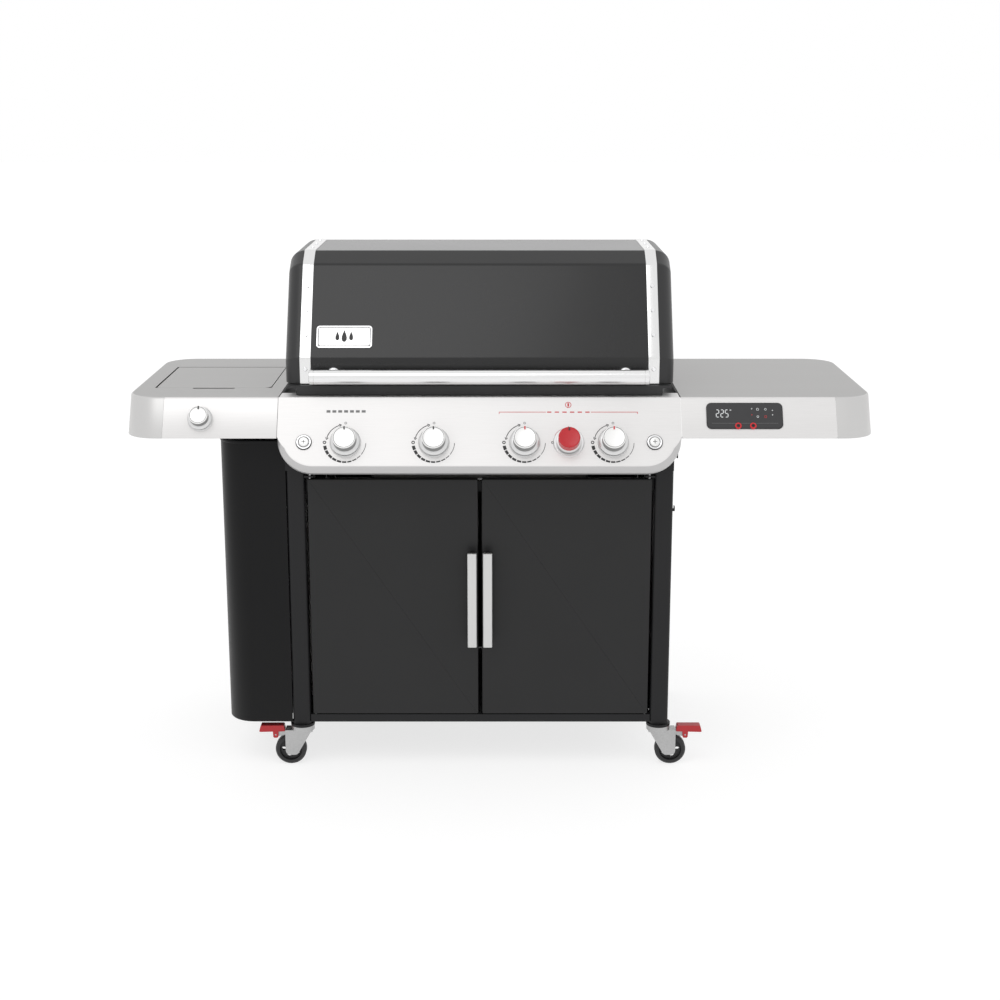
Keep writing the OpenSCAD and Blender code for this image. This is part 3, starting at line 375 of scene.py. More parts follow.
def brushed(name, colour, rough, stretch, metal=1.0, depth=0.000012, tone=0.93, scale=900):
    """Brushed metal: noise drawn out along the brushing gives streaks of tone, gloss and relief."""
    f = Finish(name, colour, Metallic=metal, Roughness=rough)
    streak = f.noise(scale, 4, stretch, 0.6)
    wide = f.noise(14, 2, stretch)
    f.set(Base_Color=f.mix(f.ramp(streak * 0.7 + wide * 0.3, 0.3, 0.7), tuple(c * tone for c in colour), colour),
          Roughness=rough - 0.05 + streak * 0.1, Normal=f.bump(streak, depth))
    return f.material


def moulded(name, colour, rough, grain=2200, depth=0.00003):
    """Moulded plastic or rubber with a fine spark-eroded grain."""
    f = Finish(name, colour, Roughness=rough)
    fine = f.noise(grain, 2)
    f.set(Base_Color=f.mix(f.noise(40, 2), tuple(c * 0.85 for c in colour), colour),
          Roughness=rough - 0.06 + fine * 0.12, Normal=f.bump(fine, depth))
    return f.material


def cast(name, colour, rough, metal=0.0, depth=0.00025, grain=420):
    """Sand-cast metal: a pebbled skin, a little shinier on its high spots."""
    f = Finish(name, colour, Roughness=rough, Metallic=metal)
    pebble = f.noise(grain, 4)
    f.set(Base_Color=f.mix(pebble, tuple(c * 0.7 for c in colour), colour),
          Roughness=rough + 0.1 - pebble * 0.2, Normal=f.bump(pebble, depth))
    return f.material


def heated(name, colour, rough, tint):
    """Stainless steel that has been hot: a straw-coloured heat tint in patches over a brushed skin."""
    f = Finish(name, colour, Metallic=1.0, Roughness=rough)
    streak = f.noise(500, 3, (1, 0.06, 1))
    patch = f.ramp(f.noise(9, 3), 0.42, 0.68)
    f.set(Base_Color=f.mix(patch * 0.7, colour, tint), Roughness=rough + streak * 0.12,
          Normal=f.bump(streak, 0.00002))
    return f.material


def printed(name, colour, rough=0.45):
    """Screen-printed ink, with a faint mottle."""
    f = Finish(name, colour, Roughness=rough)
    f.set(Base_Color=f.mix(f.noise(800, 2), tuple(c * 0.85 for c in colour), colour))
    return f.material


ENAMEL = painted("lid_enamel", (0.013, 0.013, 0.0135), 0.24, 0.3, 500, 0.00004, 0.12, 0.35)
SATIN_BLACK = painted("frame_powder_coat", (0.012, 0.012, 0.013), 0.42, 0.25, 1400, 0.00008, 0.0, 0.25)
DOOR_BLACK = painted("door_enamel", (0.016, 0.016, 0.0165), 0.36, 0.25, 900, 0.00005, 0.0, 0.28)
CAST_GREY = painted("lid_casting_paint", (0.020, 0.020, 0.021), 0.36, 0.3, 1100, 0.00012, 0.1, 0.4)
SHROUD_BLACK = painted("shroud_powder_coat", (0.006, 0.006, 0.0065), 0.38, 0.25, 1400, 0.00008, 0.0, 0.16)
TANK_WHITE = painted("cylinder_paint", (0.70, 0.70, 0.67), 0.35, 0.08, 300, 0.0001, 0.3)
CASTER_ZINC = brushed("caster_zinc", (0.50, 0.50, 0.50), 0.38, (1, 1, 1), 0.9, 0.00002, 0.8, 300)
PANEL_STEEL = brushed("panel_steel", (0.74, 0.73, 0.725), 0.40, (0.02, 1, 1), 0.5)
# Darker copy of the panel steel: painted shade on the panel's downward-facing outer wall and bevel.
PANEL_RIM_SHADE = brushed("panel_rim_painted_shade", (0.52, 0.515, 0.515), 0.36, (0.02, 1, 1), 0.6)
FASCIA_STEEL = brushed("fascia_steel", (0.74, 0.73, 0.725), 0.38, (0.02, 1, 1), 0.6)
CAP_STEEL = brushed("end_cap_steel", (0.60, 0.595, 0.59), 0.36, (1, 1, 0.02), 0.7)
TABLE_STEEL = brushed("table_steel", (0.36, 0.355, 0.35), 0.34, (0.02, 1, 1), 0.8)
TRIM_STEEL = brushed("trim_steel", (0.80, 0.80, 0.80), 0.16, (1, 0.05, 0.05), 1.0, 0.000006, 0.95)
HANDLE_STEEL = brushed("handle_steel", (0.82, 0.82, 0.82), 0.22, (0.02, 1, 1), 1.0, 0.000008, 0.93)
CHROME = brushed("chrome", (0.86, 0.86, 0.87), 0.10, (1, 1, 1), 1.0, 0.000003, 0.97)
KNOB_METAL = brushed("knob_metal", (0.84, 0.838, 0.83), 0.30, (1, 1, 1), 0.65, 0.00001, 0.96, 1500)
# Dark copy of the knob metal: painted shade on the knob's side wall and the ring round its face.
KNOB_WALL_SHADE = brushed("knob_wall_metal", (0.26, 0.26, 0.26), 0.34, (1, 1, 1), 0.8, 0.00001, 0.94, 1500)
SKIRT_METAL = brushed("knob_skirt_metal", (0.72, 0.72, 0.72), 0.32, (1, 1, 1), 0.7, 0.00001, 0.94, 1500)
GRIP_METAL = brushed("door_handle_metal", (0.62, 0.62, 0.615), 0.38, (1, 1, 0.03), 0.7, 0.00001, 0.95)
LEVER_RED = moulded("lever_red", (0.42, 0.012, 0.018), 0.40)
KNOB_RED = moulded("sear_knob_red", (0.50, 0.010, 0.018), 0.24, 2600, 0.00001)
TYRE = moulded("tyre_rubber", (0.013, 0.013, 0.014), 0.55, 900, 0.0001)
HOSE = moulded("hose_rubber", (0.012, 0.012, 0.013), 0.5, 1200, 0.0001)
WHEEL_PLASTIC = moulded("handwheel_plastic", (0.03, 0.03, 0.03), 0.5)
LENS = moulded("display_lens", (0.030, 0.030, 0.032), 0.14, 3000, 0.000002)
LENS_RIM = moulded("display_rim", (0.012, 0.012, 0.013), 0.4)
BRASS = brushed("valve_brass", (0.72, 0.52, 0.24), 0.32, (0.1, 1, 1), 1.0, 0.00001, 0.8)
STEM_METAL = brushed("stem_metal", (0.65, 0.65, 0.65), 0.35, (1, 1, 1))
PIN_STEEL = brushed("pin_steel", (0.58, 0.58, 0.59), 0.35, (0.05, 1, 1))
BOX_CAST = cast("firebox_cast", (0.030, 0.030, 0.031), 0.55, 0.2)
GRATE_IRON = cast("grate_iron", (0.022, 0.021, 0.021), 0.42, 0.1, 0.0004, 300)
BURNER_STEEL = heated("burner_steel", (0.52, 0.50, 0.47), 0.34, (0.30, 0.20, 0.12))
TENT_STEEL = heated("tent_steel", (0.46, 0.45, 0.43), 0.38, (0.22, 0.15, 0.11))
RACK_STEEL = brushed("rack_steel", (0.62, 0.62, 0.62), 0.25, (0.05, 1, 1))
WELL_STEEL = brushed("side_burner_steel", (0.50, 0.50, 0.50), 0.34, (0.04, 1, 1))
TRAY_METAL = painted("grease_tray_coat", (0.16, 0.16, 0.16), 0.45, 0.3)
FOIL = brushed("drip_foil", (0.85, 0.85, 0.85), 0.25, (1, 1, 1), 1.0, 0.0002, 0.85, 60)
INK = printed("black_ink", (0.015, 0.015, 0.016))
INK_GREY = printed("grey_ink", (0.18, 0.18, 0.18))
INK_RED = printed("red_ink", (0.62, 0.012, 0.02))
GLOW = printed("lit_segments", (0.85, 0.87, 0.88))
BADGE_FACE = brushed("badge_face", (0.80, 0.80, 0.80), 0.28, (0.03, 1, 1), 0.8)

KEPT = {
    "cart_frame": SATIN_BLACK, "base_pan": SATIN_BLACK, "back_panel": SATIN_BLACK, "side_panel": SATIN_BLACK,
    "tank_bracket": PIN_STEEL, "gas_cylinder": TANK_WHITE, "cylinder_handwheel": WHEEL_PLASTIC,
    "gas_hoses": HOSE, "hinge_pins": PIN_STEEL, "firebox": BOX_CAST, "gas_manifold": BRASS,
    "burner_tubes": BURNER_STEEL, "heat_tents": TENT_STEEL, "cooking_grates": GRATE_IRON,
    "warming_rack": RACK_STEEL, "side_burner": WELL_STEEL, "grease_tray": TRAY_METAL, "catch_pan": FOIL,
    "lid_screws": CHROME, "knob_bezels": SKIRT_METAL,
    "valve_stem_1": STEM_METAL, "valve_stem_2": STEM_METAL, "valve_stem_3": STEM_METAL,
    "valve_stem_4": STEM_METAL, "sear_stem": STEM_METAL, "side_stem": STEM_METAL,
    "fork_front_left": CASTER_ZINC, "fork_front_right": CASTER_ZINC, "fork_rear_left": CASTER_ZINC,
    "fork_rear_right": CASTER_ZINC, "wheel_front_left": TYRE, "wheel_front_right": TYRE,
    "wheel_rear_left": TYRE, "wheel_rear_right": TYRE,
    "brake_lever_left": LEVER_RED, "brake_lever_right": LEVER_RED,
}
for name, finish in KEPT.items():
    nodes[name].data.materials.clear()
    nodes[name].data.materials.append(finish)


# ---- Lid ----

LID_RADII = np.array([0, 0, 0.040, 0.040, 0.014, 0.020, 0.012])


def lid_line(d, drop=0.0):
    """The lid's closed section in Y and Z, moved inward by d everywhere but along its lower edge."""
    y0, y1, h = LID_FRONT, LID_BACK, LID_H
    low = -drop - d
    corners = np.array([[y0, low], [y1, low], [y1, h - 0.054], [y1 - 0.056, h], [y0 + 0.172, h],
                        [y0 + 0.123, h - 0.0275], [y0, 0.060]])
    return rounded(moved_in(corners, d), np.maximum(LID_RADII - d, 0), 10)


def across(line, x):
    """A Y-Z line carried to each x: rows are the x values."""
    y, z = line[:, 0], line[:, 1] + LID_Z
    return here(np.array(x)[:, None], y[None], z[None])


def lid_arch(d):
    """The section from the rear lower edge over the top to the front lower edge, moved inward by
    d: the closed line without its two lower corners, and its two lower ends."""
    line = lid_line(d)
    above = line[2 * len(line) // 7:]
    return np.concatenate([[[LID_BACK - d, 0.0]], above, [[LID_FRONT + d, 0.0]]])


outer, inner = lid_arch(0.0), lid_arch(0.003)
wall = np.concatenate([outer, inner[::-1]])
skin = Shape().grid(across(wall, [CAB - LID_HALF, CAB - LID_HALF + 0.001,
                                  CAB + LID_HALF - 0.001, CAB + LID_HALF]))
for side in (-1, 1):
    x = CAB + side * HINGE_X
    spot = frame_at(x - 0.012, HINGE_Y, HINGE_Z, [0, 1, 0], [0, 0, 1], [1, 0, 0])
    skin.lathe([(0.0052, 0.0), (0.0104, 0.0), (0.011, 0.0006), (0.011, 0.0234), (0.0104, 0.024), (0.0052, 0.024)],
               spot, 48)
    skin.block((x - 0.012, LID_BACK - 0.001, HINGE_Z + 0.008), (x + 0.012, HINGE_Y + 0.004, HINGE_Z + 0.030), 0.002)
skin.build("lid_skin", [ENAMEL], "lid", ["lid_shell"], "lid_enamel")

castings = Shape()
for side in (-1, 1):
    t = np.linspace(0, np.pi / 2, 13)
    rings = [(0.0, LID_HALF + 0.0004)] + [
        (CASTING_W * (1 - math.cos(a)), LID_HALF + CASTING_W * math.sin(a)) for a in t[1:]]
    rings += [(CASTING_W + 0.001, LID_HALF + CASTING_W)]
    castings.grid(np.stack([across(lid_line(d), [CAB + side * x])[0] for d, x in rings]))
castings.build("lid_ends", [CAST_GREY], "lid", ["lid_end_castings"], "cast_grey", 50)


def band(path, profile):
    """A closed profile of (x, height) carried along an open path in Y and Z: the height goes
    along the path's outward normal, which is its direction turned by a quarter."""
    step = np.gradient(path, axis=0)
    normal = unit(np.stack([step[:, 1], -step[:, 0]], 1))
    x, h = np.array(profile).T
    yz = path[:, None] + h[None, :, None] * normal[:, None]
    return here(np.broadcast_to(x, yz.shape[:2]), yz[..., 0], yz[..., 1] + LID_Z)


strips = Shape()
arch = outer[(outer[:, 0] < LID_BACK - 0.062)]
for side in (-1, 1):
    x0 = CAB + (side * STRIP_IN if side > 0 else -STRIP_IN - 0.026)
    strips.grid(band(arch, [(x0, 0.0), (x0 + 0.026, 0.0), (x0 + 0.026, 0.0014), (x0 + 0.0254, 0.002),
                            (x0 + 0.0246, 0.0021), (x0 + 0.0014, 0.0021), (x0 + 0.0006, 0.002), (x0, 0.0014)]))
strips.build("lid_strips", [TRIM_STEEL], "lid", ["lid_trim"], "trim_steel", 50)

end = 0.0012
tube = [(0.006, -HANDLE_HALF), (HANDLE_R - 0.004, -HANDLE_HALF), (HANDLE_R - end, -HANDLE_HALF + 0.0004),
        (HANDLE_R, -HANDLE_HALF + end), (HANDLE_R, -HANDLE_HALF + 0.010), (HANDLE_R - 0.0005, -HANDLE_HALF + 0.0105),
        (HANDLE_R - 0.0005, -HANDLE_HALF + 0.0115), (HANDLE_R, -HANDLE_HALF + 0.012)]
tube += [(r, -z) for r, z in tube[::-1]]
grip = Shape().lathe(tube, frame_at(CAB, HANDLE_Y, HANDLE_Z, [0, 1, 0], [0, 0, 1], [1, 0, 0]), 96)
grip.build("lid_handle_tube", [HANDLE_STEEL], "lid", ["lid_handle"], "handle_steel", 40)

posts = Shape()
for x in (-POST_X, POST_X):
    t = np.linspace(0, np.pi / 2, 9)
    foot = [(0.004, 0.0), (0.0183, 0.0), (0.0185, 0.0006), (0.0185, 0.0035)]
    waist = [(0.0185 - 0.006 * (1 - math.cos(a)), 0.0035 + 0.0125 * math.sin(a)) for a in t[1:]]
    posts.lathe(foot + waist + [(0.0125, 0.034), (0.004, 0.034)],
                frame_at(CAB + x, LID_FRONT, HANDLE_Z, [1, 0, 0], [0, 0, 1], [0, -1, 0]), 64)
posts.build("handle_posts", [CHROME], "lid", ["handle_brackets"], "trim_steel", 40)

lean = math.atan2(0.123, LID_H - 0.0275 - 0.060)
badge_up = np.array([0, math.sin(lean), math.cos(lean)])
badge_out = np.array([0, -math.cos(lean), math.sin(lean)])
badge_spot = (here(CAB - 0.315, LID_FRONT + 0.053 * math.sin(lean), LID_Z + 0.060 + 0.053 * math.cos(lean)),
              np.array([1.0, 0, 0]), badge_up, badge_out)
badge = Shape()
badge.slab(box_line(-0.065, 0.065, -0.028, 0.028, 0.008), edge(0.0, 0.0026, 0.001),
           lambda p: placed(p, badge_spot))
badge.slab(box_line(-0.0615, 0.0615, -0.0245, 0.0245, 0.0055), [(0, 0.002), (0, 0.0027), (0.001, 0.0027)],
           lambda p: placed(p, badge_spot), 1)
badge.slab(box_line(-0.0595, 0.0595, -0.0225, 0.0225, 0.0045), [(0, 0.002), (0, 0.0029), (0.001, 0.0029)],
           lambda p: placed(p, badge_spot), 2)
angle = np.linspace(0, 2 * np.pi, 48, endpoint=False)
for x, size in ((-0.016, 0.75), (0.0, 1.0), (0.016, 0.75)):
    # flame: a drop whose width is sin t times a falling power, pointed at the top
    drop = np.stack([x + 0.0085 * size * np.sin(angle) * np.sin(angle / 2) ** 1.4,
                     0.002 - 0.015 * size * -np.cos(angle)], 1)[::-1]
    flat = np.stack([np.concatenate([drop, np.full((48, 1), z)], 1) for z in (0.0028, 0.0031)])
    badge.grid(placed(flat, badge_spot), kind=1)
badge.build("lid_badge", [CHROME, INK, BADGE_FACE], "lid", ["badge_plate"], "badge", 40)


# ---- Control panel ----

LOW = 0.180
PANEL_R = 0.084


def panel_line(t, d, n=16):
    """The panel's outline on the slope, its sheet edges moved inward by t. Below the tables its
    rim is moved in by a further d, which grows over the first eighth of each corner's arc."""
    w, r = PANEL_HALF - t, PANEL_R - t
    cx, cy = PANEL_HALF - PANEL_R, PANEL_R - LOW
    share = np.linspace(0, 1, n + 1)
    ease = np.minimum(1, share * 4)
    left, right = np.pi + share * np.pi / 2, 1.5 * np.pi + share * np.pi / 2
    ql, qr = r - d * ease, r - d * ease[::-1]
    return np.concatenate([[[-w, -t]], np.stack([-cx + ql * np.cos(left), cy + ql * np.sin(left)], 1),
                           np.stack([cx + qr * np.cos(right), cy + qr * np.sin(right)], 1), [[w, -t]]])


panel_rings = [(0.002, 0.012, -0.002), (0.002, 0.0, -0.0128), (0.002, 0.0, -0.022),
               (0.0, 0.0, -0.022), (0.0, 0.0, -0.0130), (0.0, 0.0004, -0.0121), (0.0, 0.0112, -0.0012),
               (0.0, 0.0122, -0.0003), (0.0, 0.0134, 0.0), (0.0012, 0.0134, 0.0)]
RING_N = len(panel_line(0, 0))
panel = Shape()
face = np.stack([np.concatenate([panel_line(t, d), np.full((RING_N, 1), h)], 1) for t, d, h in panel_rings])
panel.grid(on_slope(CAB + face[..., 0], -face[..., 1], face[..., 2]))
shaded_rim_rows = [3, 4, 5, 6]  # the outer wall's front part and the bevel, which face down; their darker steel is painted shade
for row in shaded_rim_rows:
    panel.kinds[row * RING_N: (row + 1) * RING_N - 1] = [1] * (RING_N - 1)
panel.block((CAB - PANEL_HALF + 0.001, 0.001, TOP - 0.0023), (CAB + PANEL_HALF - 0.001, 0.035, TOP - 0.0003))
for side in (-1, 1):
    xs = sorted([CAB + side * 0.426, CAB + side * (PANEL_HALF - 0.001)])
    panel.block((xs[0], 0.034, TOP - 0.0023), (xs[1], 0.060, TOP - 0.0003))
panel.build("front_panel", [PANEL_STEEL, PANEL_RIM_SHADE], "root", ["control_panel"], "panel_steel")


def mark(shape, spot, r0, r1, a0, a1, kind=0, n=None, low=0.0001, high=0.00035):
    """Printed arc between two radii and two clock angles in degrees (0 at the top, clockwise)."""
    n = n or max(2, int(abs(a1 - a0) / 4) + 2)
    a = np.radians(np.linspace(a0, a1, n))[:, None]
    r = np.array([r0, r1, r1, r0])[None]
    h = np.broadcast_to(np.array([low, low, high, high])[None], (n, 4))
    shape.grid(placed(np.stack([r * np.sin(a), r * np.cos(a), h], -1), spot), kind=kind)


def ring(shape, spot, x, y, r, width, kind=0):
    """Small printed ring about a point of a spot."""
    centre = (placed(np.array([x, y, 0.0]), spot), *spot[1:])
    profile = [(r - width, 0.0001), (r, 0.0001), (r, 0.00035), (r - width, 0.00035)]
    shape.grid(placed(turned(profile, 32), centre), kind=kind, rows=True)


def stroke(shape, spot, p, q, width, kind=0, low=0.0001, high=0.00035):
    """Printed straight line from p to q on a spot."""
    p, q = np.array(p, float), np.array(q, float)
    along = unit((q - p)[None])[0]
    side = np.array([-along[1], along[0]]) * width / 2
    corners = np.array([p - side, q - side, q + side, p + side])
    layers = np.stack([np.concatenate([corners, np.full((4, 1), h)], 1) for h in (low, high)])
    shape.grid(placed(layers, spot), kind=kind)


prints = Shape()
for x in BURNER_XS:
    spot = slope_frame(CAB + x, KNOB_S)
    ring(prints, spot, 0.0, 0.0470, 0.0028, 0.0011, 1)
    mark(prints, spot, 0.0430, 0.0446, -76, -18)
    for a, turn in ((-18, 1), (-76, -1)):
        tip = math.radians(a + 5 * turn)
        p = np.array([0.0438 * math.sin(tip), 0.0438 * math.cos(tip)])
        for r in (0.0408, 0.0468):
            back = math.radians(a - 1.5 * turn)
            stroke(prints, spot, [r * math.sin(back), r * math.cos(back)], p, 0.0015)
    ring(prints, spot, -0.0475, 0.0, 0.0040, 0.0020)
    for i in range(9):
        a = -100 - i * 14.5
        thick = 0.0072 - i * 0.00068
        mark(prints, spot, 0.0475 - thick / 2, 0.0475 + thick / 2, a, a - 12)
    mark(prints, spot, 0.0468, 0.0480, -232, -268)
spot = slope_frame(CAB + SEAR_X, KNOB_S)
ring(prints, spot, -0.0375, 0.0, 0.0028, 0.0012)
mark(prints, spot, 0.0352, 0.0362, -62, -14, 2)
stroke(prints, spot, [0.0, 0.0335], [0.0, 0.0395], 0.0012, 2)
spot = slope_frame(CAB, 0.0)
bar_s, left, right = -0.0362, 0.0455, 0.3640
mid = (left + right) / 2
stroke(prints, spot, [left, bar_s], [mid - 0.052, bar_s], 0.0012, 2)
stroke(prints, spot, [mid + 0.052, bar_s], [right, bar_s], 0.0012, 2)
for x in (left, right):
    stroke(prints, spot, [x, bar_s - 0.0045], [x, bar_s + 0.0006], 0.0012, 2)
ring(prints, spot, mid, -0.0185, 0.0072, 0.0014, 2)
stroke(prints, spot, [mid, -0.0225], [mid, -0.0145], 0.0036, 2)
for i in range(6):
    stroke(prints, spot, [mid - 0.044 + i * 0.0176 - 0.005, bar_s],
           [mid - 0.044 + i * 0.0176 + 0.005, bar_s], 0.0026, 2)
spot = slope_frame(CAB - 0.352, 0.0)
for i in range(7):
    stroke(prints, spot, [i * 0.0135, -0.0345], [i * 0.0135 + 0.009, -0.0345], 0.0058, 1)
prints.build("panel_prints", [INK, INK_GREY, INK_RED], "root", (), "panel_steel")


KNOB_SIDES = 96
# Cap rows that take painted shade: the side wall, and the ring round the dished face.
SHADED_WALL_ROWS, SHADED_FACE_EDGE_ROWS = (0, 1, 2), (8, 9)


def knob_shape(cap, base, out):
    """Turned knob: flared skirt, step, straight cap with a rounded rim and a dished face."""
    t = np.linspace(0, np.pi / 2, 6)
    skirt = [(0.005, KNOB_BASE), (base - 0.0006, KNOB_BASE), (base, KNOB_BASE + 0.0006),
             (base, KNOB_BASE + 0.0024), (base - 0.0010, KNOB_BASE + 0.0036), (cap + 0.0036, KNOB_BASE + 0.0052),
             (cap + 0.0012, KNOB_BASE + 0.0066), (cap - 0.0030, KNOB_BASE + 0.0068)]
    side = [(cap - 0.0040, KNOB_BASE + 0.0060), (cap, KNOB_BASE + 0.0062), (cap, out - 0.0026)]
    rim = [(cap - 0.0022 * (1 - math.cos(a)), out - 0.0022 + 0.0022 * math.sin(a)) for a in t]
    face = [(cap - 0.0030, out), (cap - 0.0038, out - 0.0002), (cap * 0.6, out - 0.0008), (0.003, out - 0.0010)]
    return skirt, side + rim + face


def knob(name, body, node, x, s, cap, base, out, finishes, slot, knurl=0):
    """One knob on its own body: the skirt may carry fine knurls, as a ripple of its radius."""
    spot = slope_frame(x, s)
    skirt, top = knob_shape(cap, base, out)
    shape = Shape()
    lower = turned(skirt, 2 * KNOB_SIDES if knurl else KNOB_SIDES)
    if knurl:
        a = np.arctan2(lower[1, :, 1], lower[1, :, 0])
        lower[1:4, :, :2] *= (1 + 0.012 * np.cos(knurl * a))[None, :, None]
    shape.grid(placed(lower, spot), kind=1)
    first = len(shape.faces)
    shape.lathe(top, spot, KNOB_SIDES)
    # The side wall and the face's edge ring get the dark copy of the metal, as painted shade.
    shape.recolour(first, SHADED_WALL_ROWS + SHADED_FACE_EDGE_ROWS, KNOB_SIDES, 3)
    stroke(shape, spot, [0, cap - 0.0085], [0, cap - 0.0012], 0.0030, 2, out - 0.0012, out + 0.0008)
    stroke(shape, spot, [0, cap + 0.0018], [0, base - 0.0010], 0.0020, 2,
           KNOB_BASE + 0.002, KNOB_BASE + 0.0052)
    shape.build(name, finishes, body, [node], slot, 42)


for i, x in enumerate(BURNER_XS, 1):
    knob(f"burner_dial_{i}", f"burner_{i}_knob", f"burner_knob_{i}", CAB + x, KNOB_S, 0.027, 0.034, KNOB_OUT,
         [KNOB_METAL, SKIRT_METAL, INK_RED if i > 2 else INK, KNOB_WALL_SHADE], "knob_metal")
knob("sear_dial", "sear_knob", "sear_knob", CAB + SEAR_X, KNOB_S, 0.025, 0.028, KNOB_OUT,
     [KNOB_RED, SKIRT_METAL, INK, KNOB_RED], "knob_red", 40)
knob("side_dial", "side_knob", "side_knob", SIDE_KNOB_X, SIDE_KNOB_S, 0.022, 0.028, KNOB_OUT - 0.006,
     [KNOB_METAL, SKIRT_METAL, INK, KNOB_WALL_SHADE], "knob_metal")

BOLT_SIDES = 72
# Flank rows of each cap bolt's ring, printed in black ink as painted shade.
BOLT_SHADED_FLANK_ROWS = (2, 3, 4, 7, 8)
bolts = Shape()
for x in (-SCREW_X, SCREW_X):
    spot = slope_frame(CAB + x, KNOB_S)
    first = len(bolts.faces)
    bolts.lathe([(0.004, -0.014), (0.004, 0.0002), (0.0183, 0.0002), (0.0185, 0.0012),
                 (0.0180, 0.0024), (0.0168, 0.0034), (0.0150, 0.0036), (0.0130, 0.0033),
                 (0.0122, 0.0026), (0.0116, 0.0024)], spot, BOLT_SIDES)
    # The ring's sloping flanks take the black ink: painted shade.
    bolts.recolour(first, BOLT_SHADED_FLANK_ROWS, BOLT_SIDES, 3)
    bolts.lathe([(0.0112, 0.0012), (0.0112, 0.0054), (0.0108, 0.0062), (0.0100, 0.0067), (0.0088, 0.0070),
                 (0.003, 0.0070)], spot, 64, 1)
    # Grey cross on the cap: painted shade of a cross recess.
    for p, q in (([-0.0048, 0], [0.0048, 0]), ([0, -0.0048], [0, 0.0048])):
        stroke(bolts, spot, p, q, 0.0016, 2, 0.0068, 0.00715)
bolts.build("panel_cap_bolts", [CHROME, KNOB_METAL, INK_GREY, INK], "root", ["panel_screws"], "screw_steel", 40)


# ---- Side tables ----

def table_path(forward, d, n=14):
    """Half plan of a table from its inner front corner round its outer end to the back, moved
    inward by d, with the front moved forward: two straight sides joined by quarter circles."""
    r = CORNER_R - d
    y0, y1, x1 = d - forward, DEPTH - d, HALF_W - d
    a = np.linspace(-np.pi / 2, 0, n + 1)
    b = np.linspace(0, np.pi / 2, n + 1)
    front = np.stack([x1 - r + r * np.cos(a), y0 + r + r * np.sin(a)], 1)
    back = np.stack([x1 - r + r * np.cos(b), y1 - r + r * np.sin(b)], 1)
    return np.concatenate([front, back])


def wall_section(low, lip, r=0.0035):
    """Closed section of a table's turned-down wall as insets and depths below the top: a rounded
    top bend, the wall, a lip turned in below, and the same again inside the sheet."""
    t = np.linspace(0, np.pi / 2, 6)
    outside = [(r * (1 - math.sin(a)), r * (1 - math.cos(a))) for a in t]
    foot = [(0.0, low - 0.0015), (0.0005, low - 0.0004), (0.0016, low), (lip, low), (lip, low - SHEET)]
    return outside + foot + [(SHEET + 0.0004, low - SHEET), (SHEET, low - SHEET - 0.0006), (SHEET, r + 0.0004),
                             (r, SHEET)]


LOW_EDGE = FASCIA * COS
TAN = SIN / COS


def straight_wall(x0, x1, front):
    """The wall along a table's straight front, which leans by the slope, or its upright back."""
    section = np.array(wall_section(LOW_EDGE, 0.012))
    x = np.array([x0, x0 + 0.0008, x1 - 0.0008, x1])
    d, z = section[:, 0], section[:, 1]
    y = d - z * TAN if front else DEPTH - d
    shape = (len(x), len(d))
    return np.broadcast_to(x[:, None], shape), np.broadcast_to(y, shape), np.broadcast_to(TOP - z, shape)


def end_wall():
    """The wall round a table's outer end, one ring of the section for each point of the plan."""
    section = wall_section(LOW_EDGE, 0.006)
    rows = []
    for d, z in section:
        path = table_path(z * TAN, d)
        y0, y1 = path[0, 1], path[-1, 1]
        path = np.concatenate([[[CAP_FROM + 0.0005, y0]], path, [[CAP_FROM + 0.0005, y1]]])
        rows.append(np.concatenate([path, np.full((len(path), 1), TOP - z)], 1))
    return np.stack(rows, 1)


def plate(outline, hole, z0, z1, side, shape, kind):
    """Flat plate between two heights with an opening: both faces are cut into triangles round the
    opening, and the rims are walls between them."""
    rings = [outline] + ([hole] if hole is not None else [])
    flat = np.concatenate(rings)
    tris = np.array(tessellate_polygon([[(float(x), float(y), 0.0) for x, y in g] for g in rings]))
    for z in (z0, z1):
        shape.points.append(here(side * flat[:, 0], flat[:, 1], z))
        shape.faces += (tris + shape.count).tolist()
        shape.kinds += [kind] * len(tris)
        shape.count += len(flat)
    for g in rings:
        shape.grid(np.stack([here(side * g[:, 0], g[:, 1], z) for z in (z0, z1)]), ends=False, kind=kind)


def table(name, side, inner, hole, node):
    """One side table: flat top, leaning front and upright back walls, each of bent sheet."""
    shape = Shape()
    r = 0.0035
    path = table_path(0.0, r)
    outline = np.concatenate([[[inner, r]], [[inner + 0.001, r]], path,
                              [[inner + 0.001, DEPTH - r]], [[inner, DEPTH - r]]])
    plate(outline, hole, TOP - SHEET, TOP, side, shape, 0)
    for front in (True, False):
        x, y, z = straight_wall(inner, CAP_FROM, front)
        shape.grid(here(side * x, y, z), kind=1)
    shape.build(name, [TABLE_STEEL, FASCIA_STEEL], "root", [node], "table_steel", 38)


hole_line = np.array([[-BURN_X1, BURN_Y0], [-NOTCH_X1, BURN_Y0], [-NOTCH_X1, BURN_Y0 - 0.012],
                      [-NOTCH_X0, BURN_Y0 - 0.012], [-NOTCH_X0, BURN_Y0], [-BURN_X0, BURN_Y0],
                      [-BURN_X0, BURN_Y1], [-BURN_X1, BURN_Y1]])
hole_line = rounded(hole_line, [0.003, 0.002, 0.004, 0.004, 0.002, 0.003, 0.003, 0.003], 4)
table("left_table_sheet", -1, TABLE_IN - CAB, hole_line, "left_table")
table("right_table_sheet", 1, TABLE_IN + CAB, None, "right_table")

ends = Shape()
for side in (-1, 1):
    ends.grid(end_wall() * [side, 1, 1] + [0, EDGE, 0])
ends.build("table_ends", [CAP_STEEL], "root", ["table_end_caps"], "cap_grey", 38)

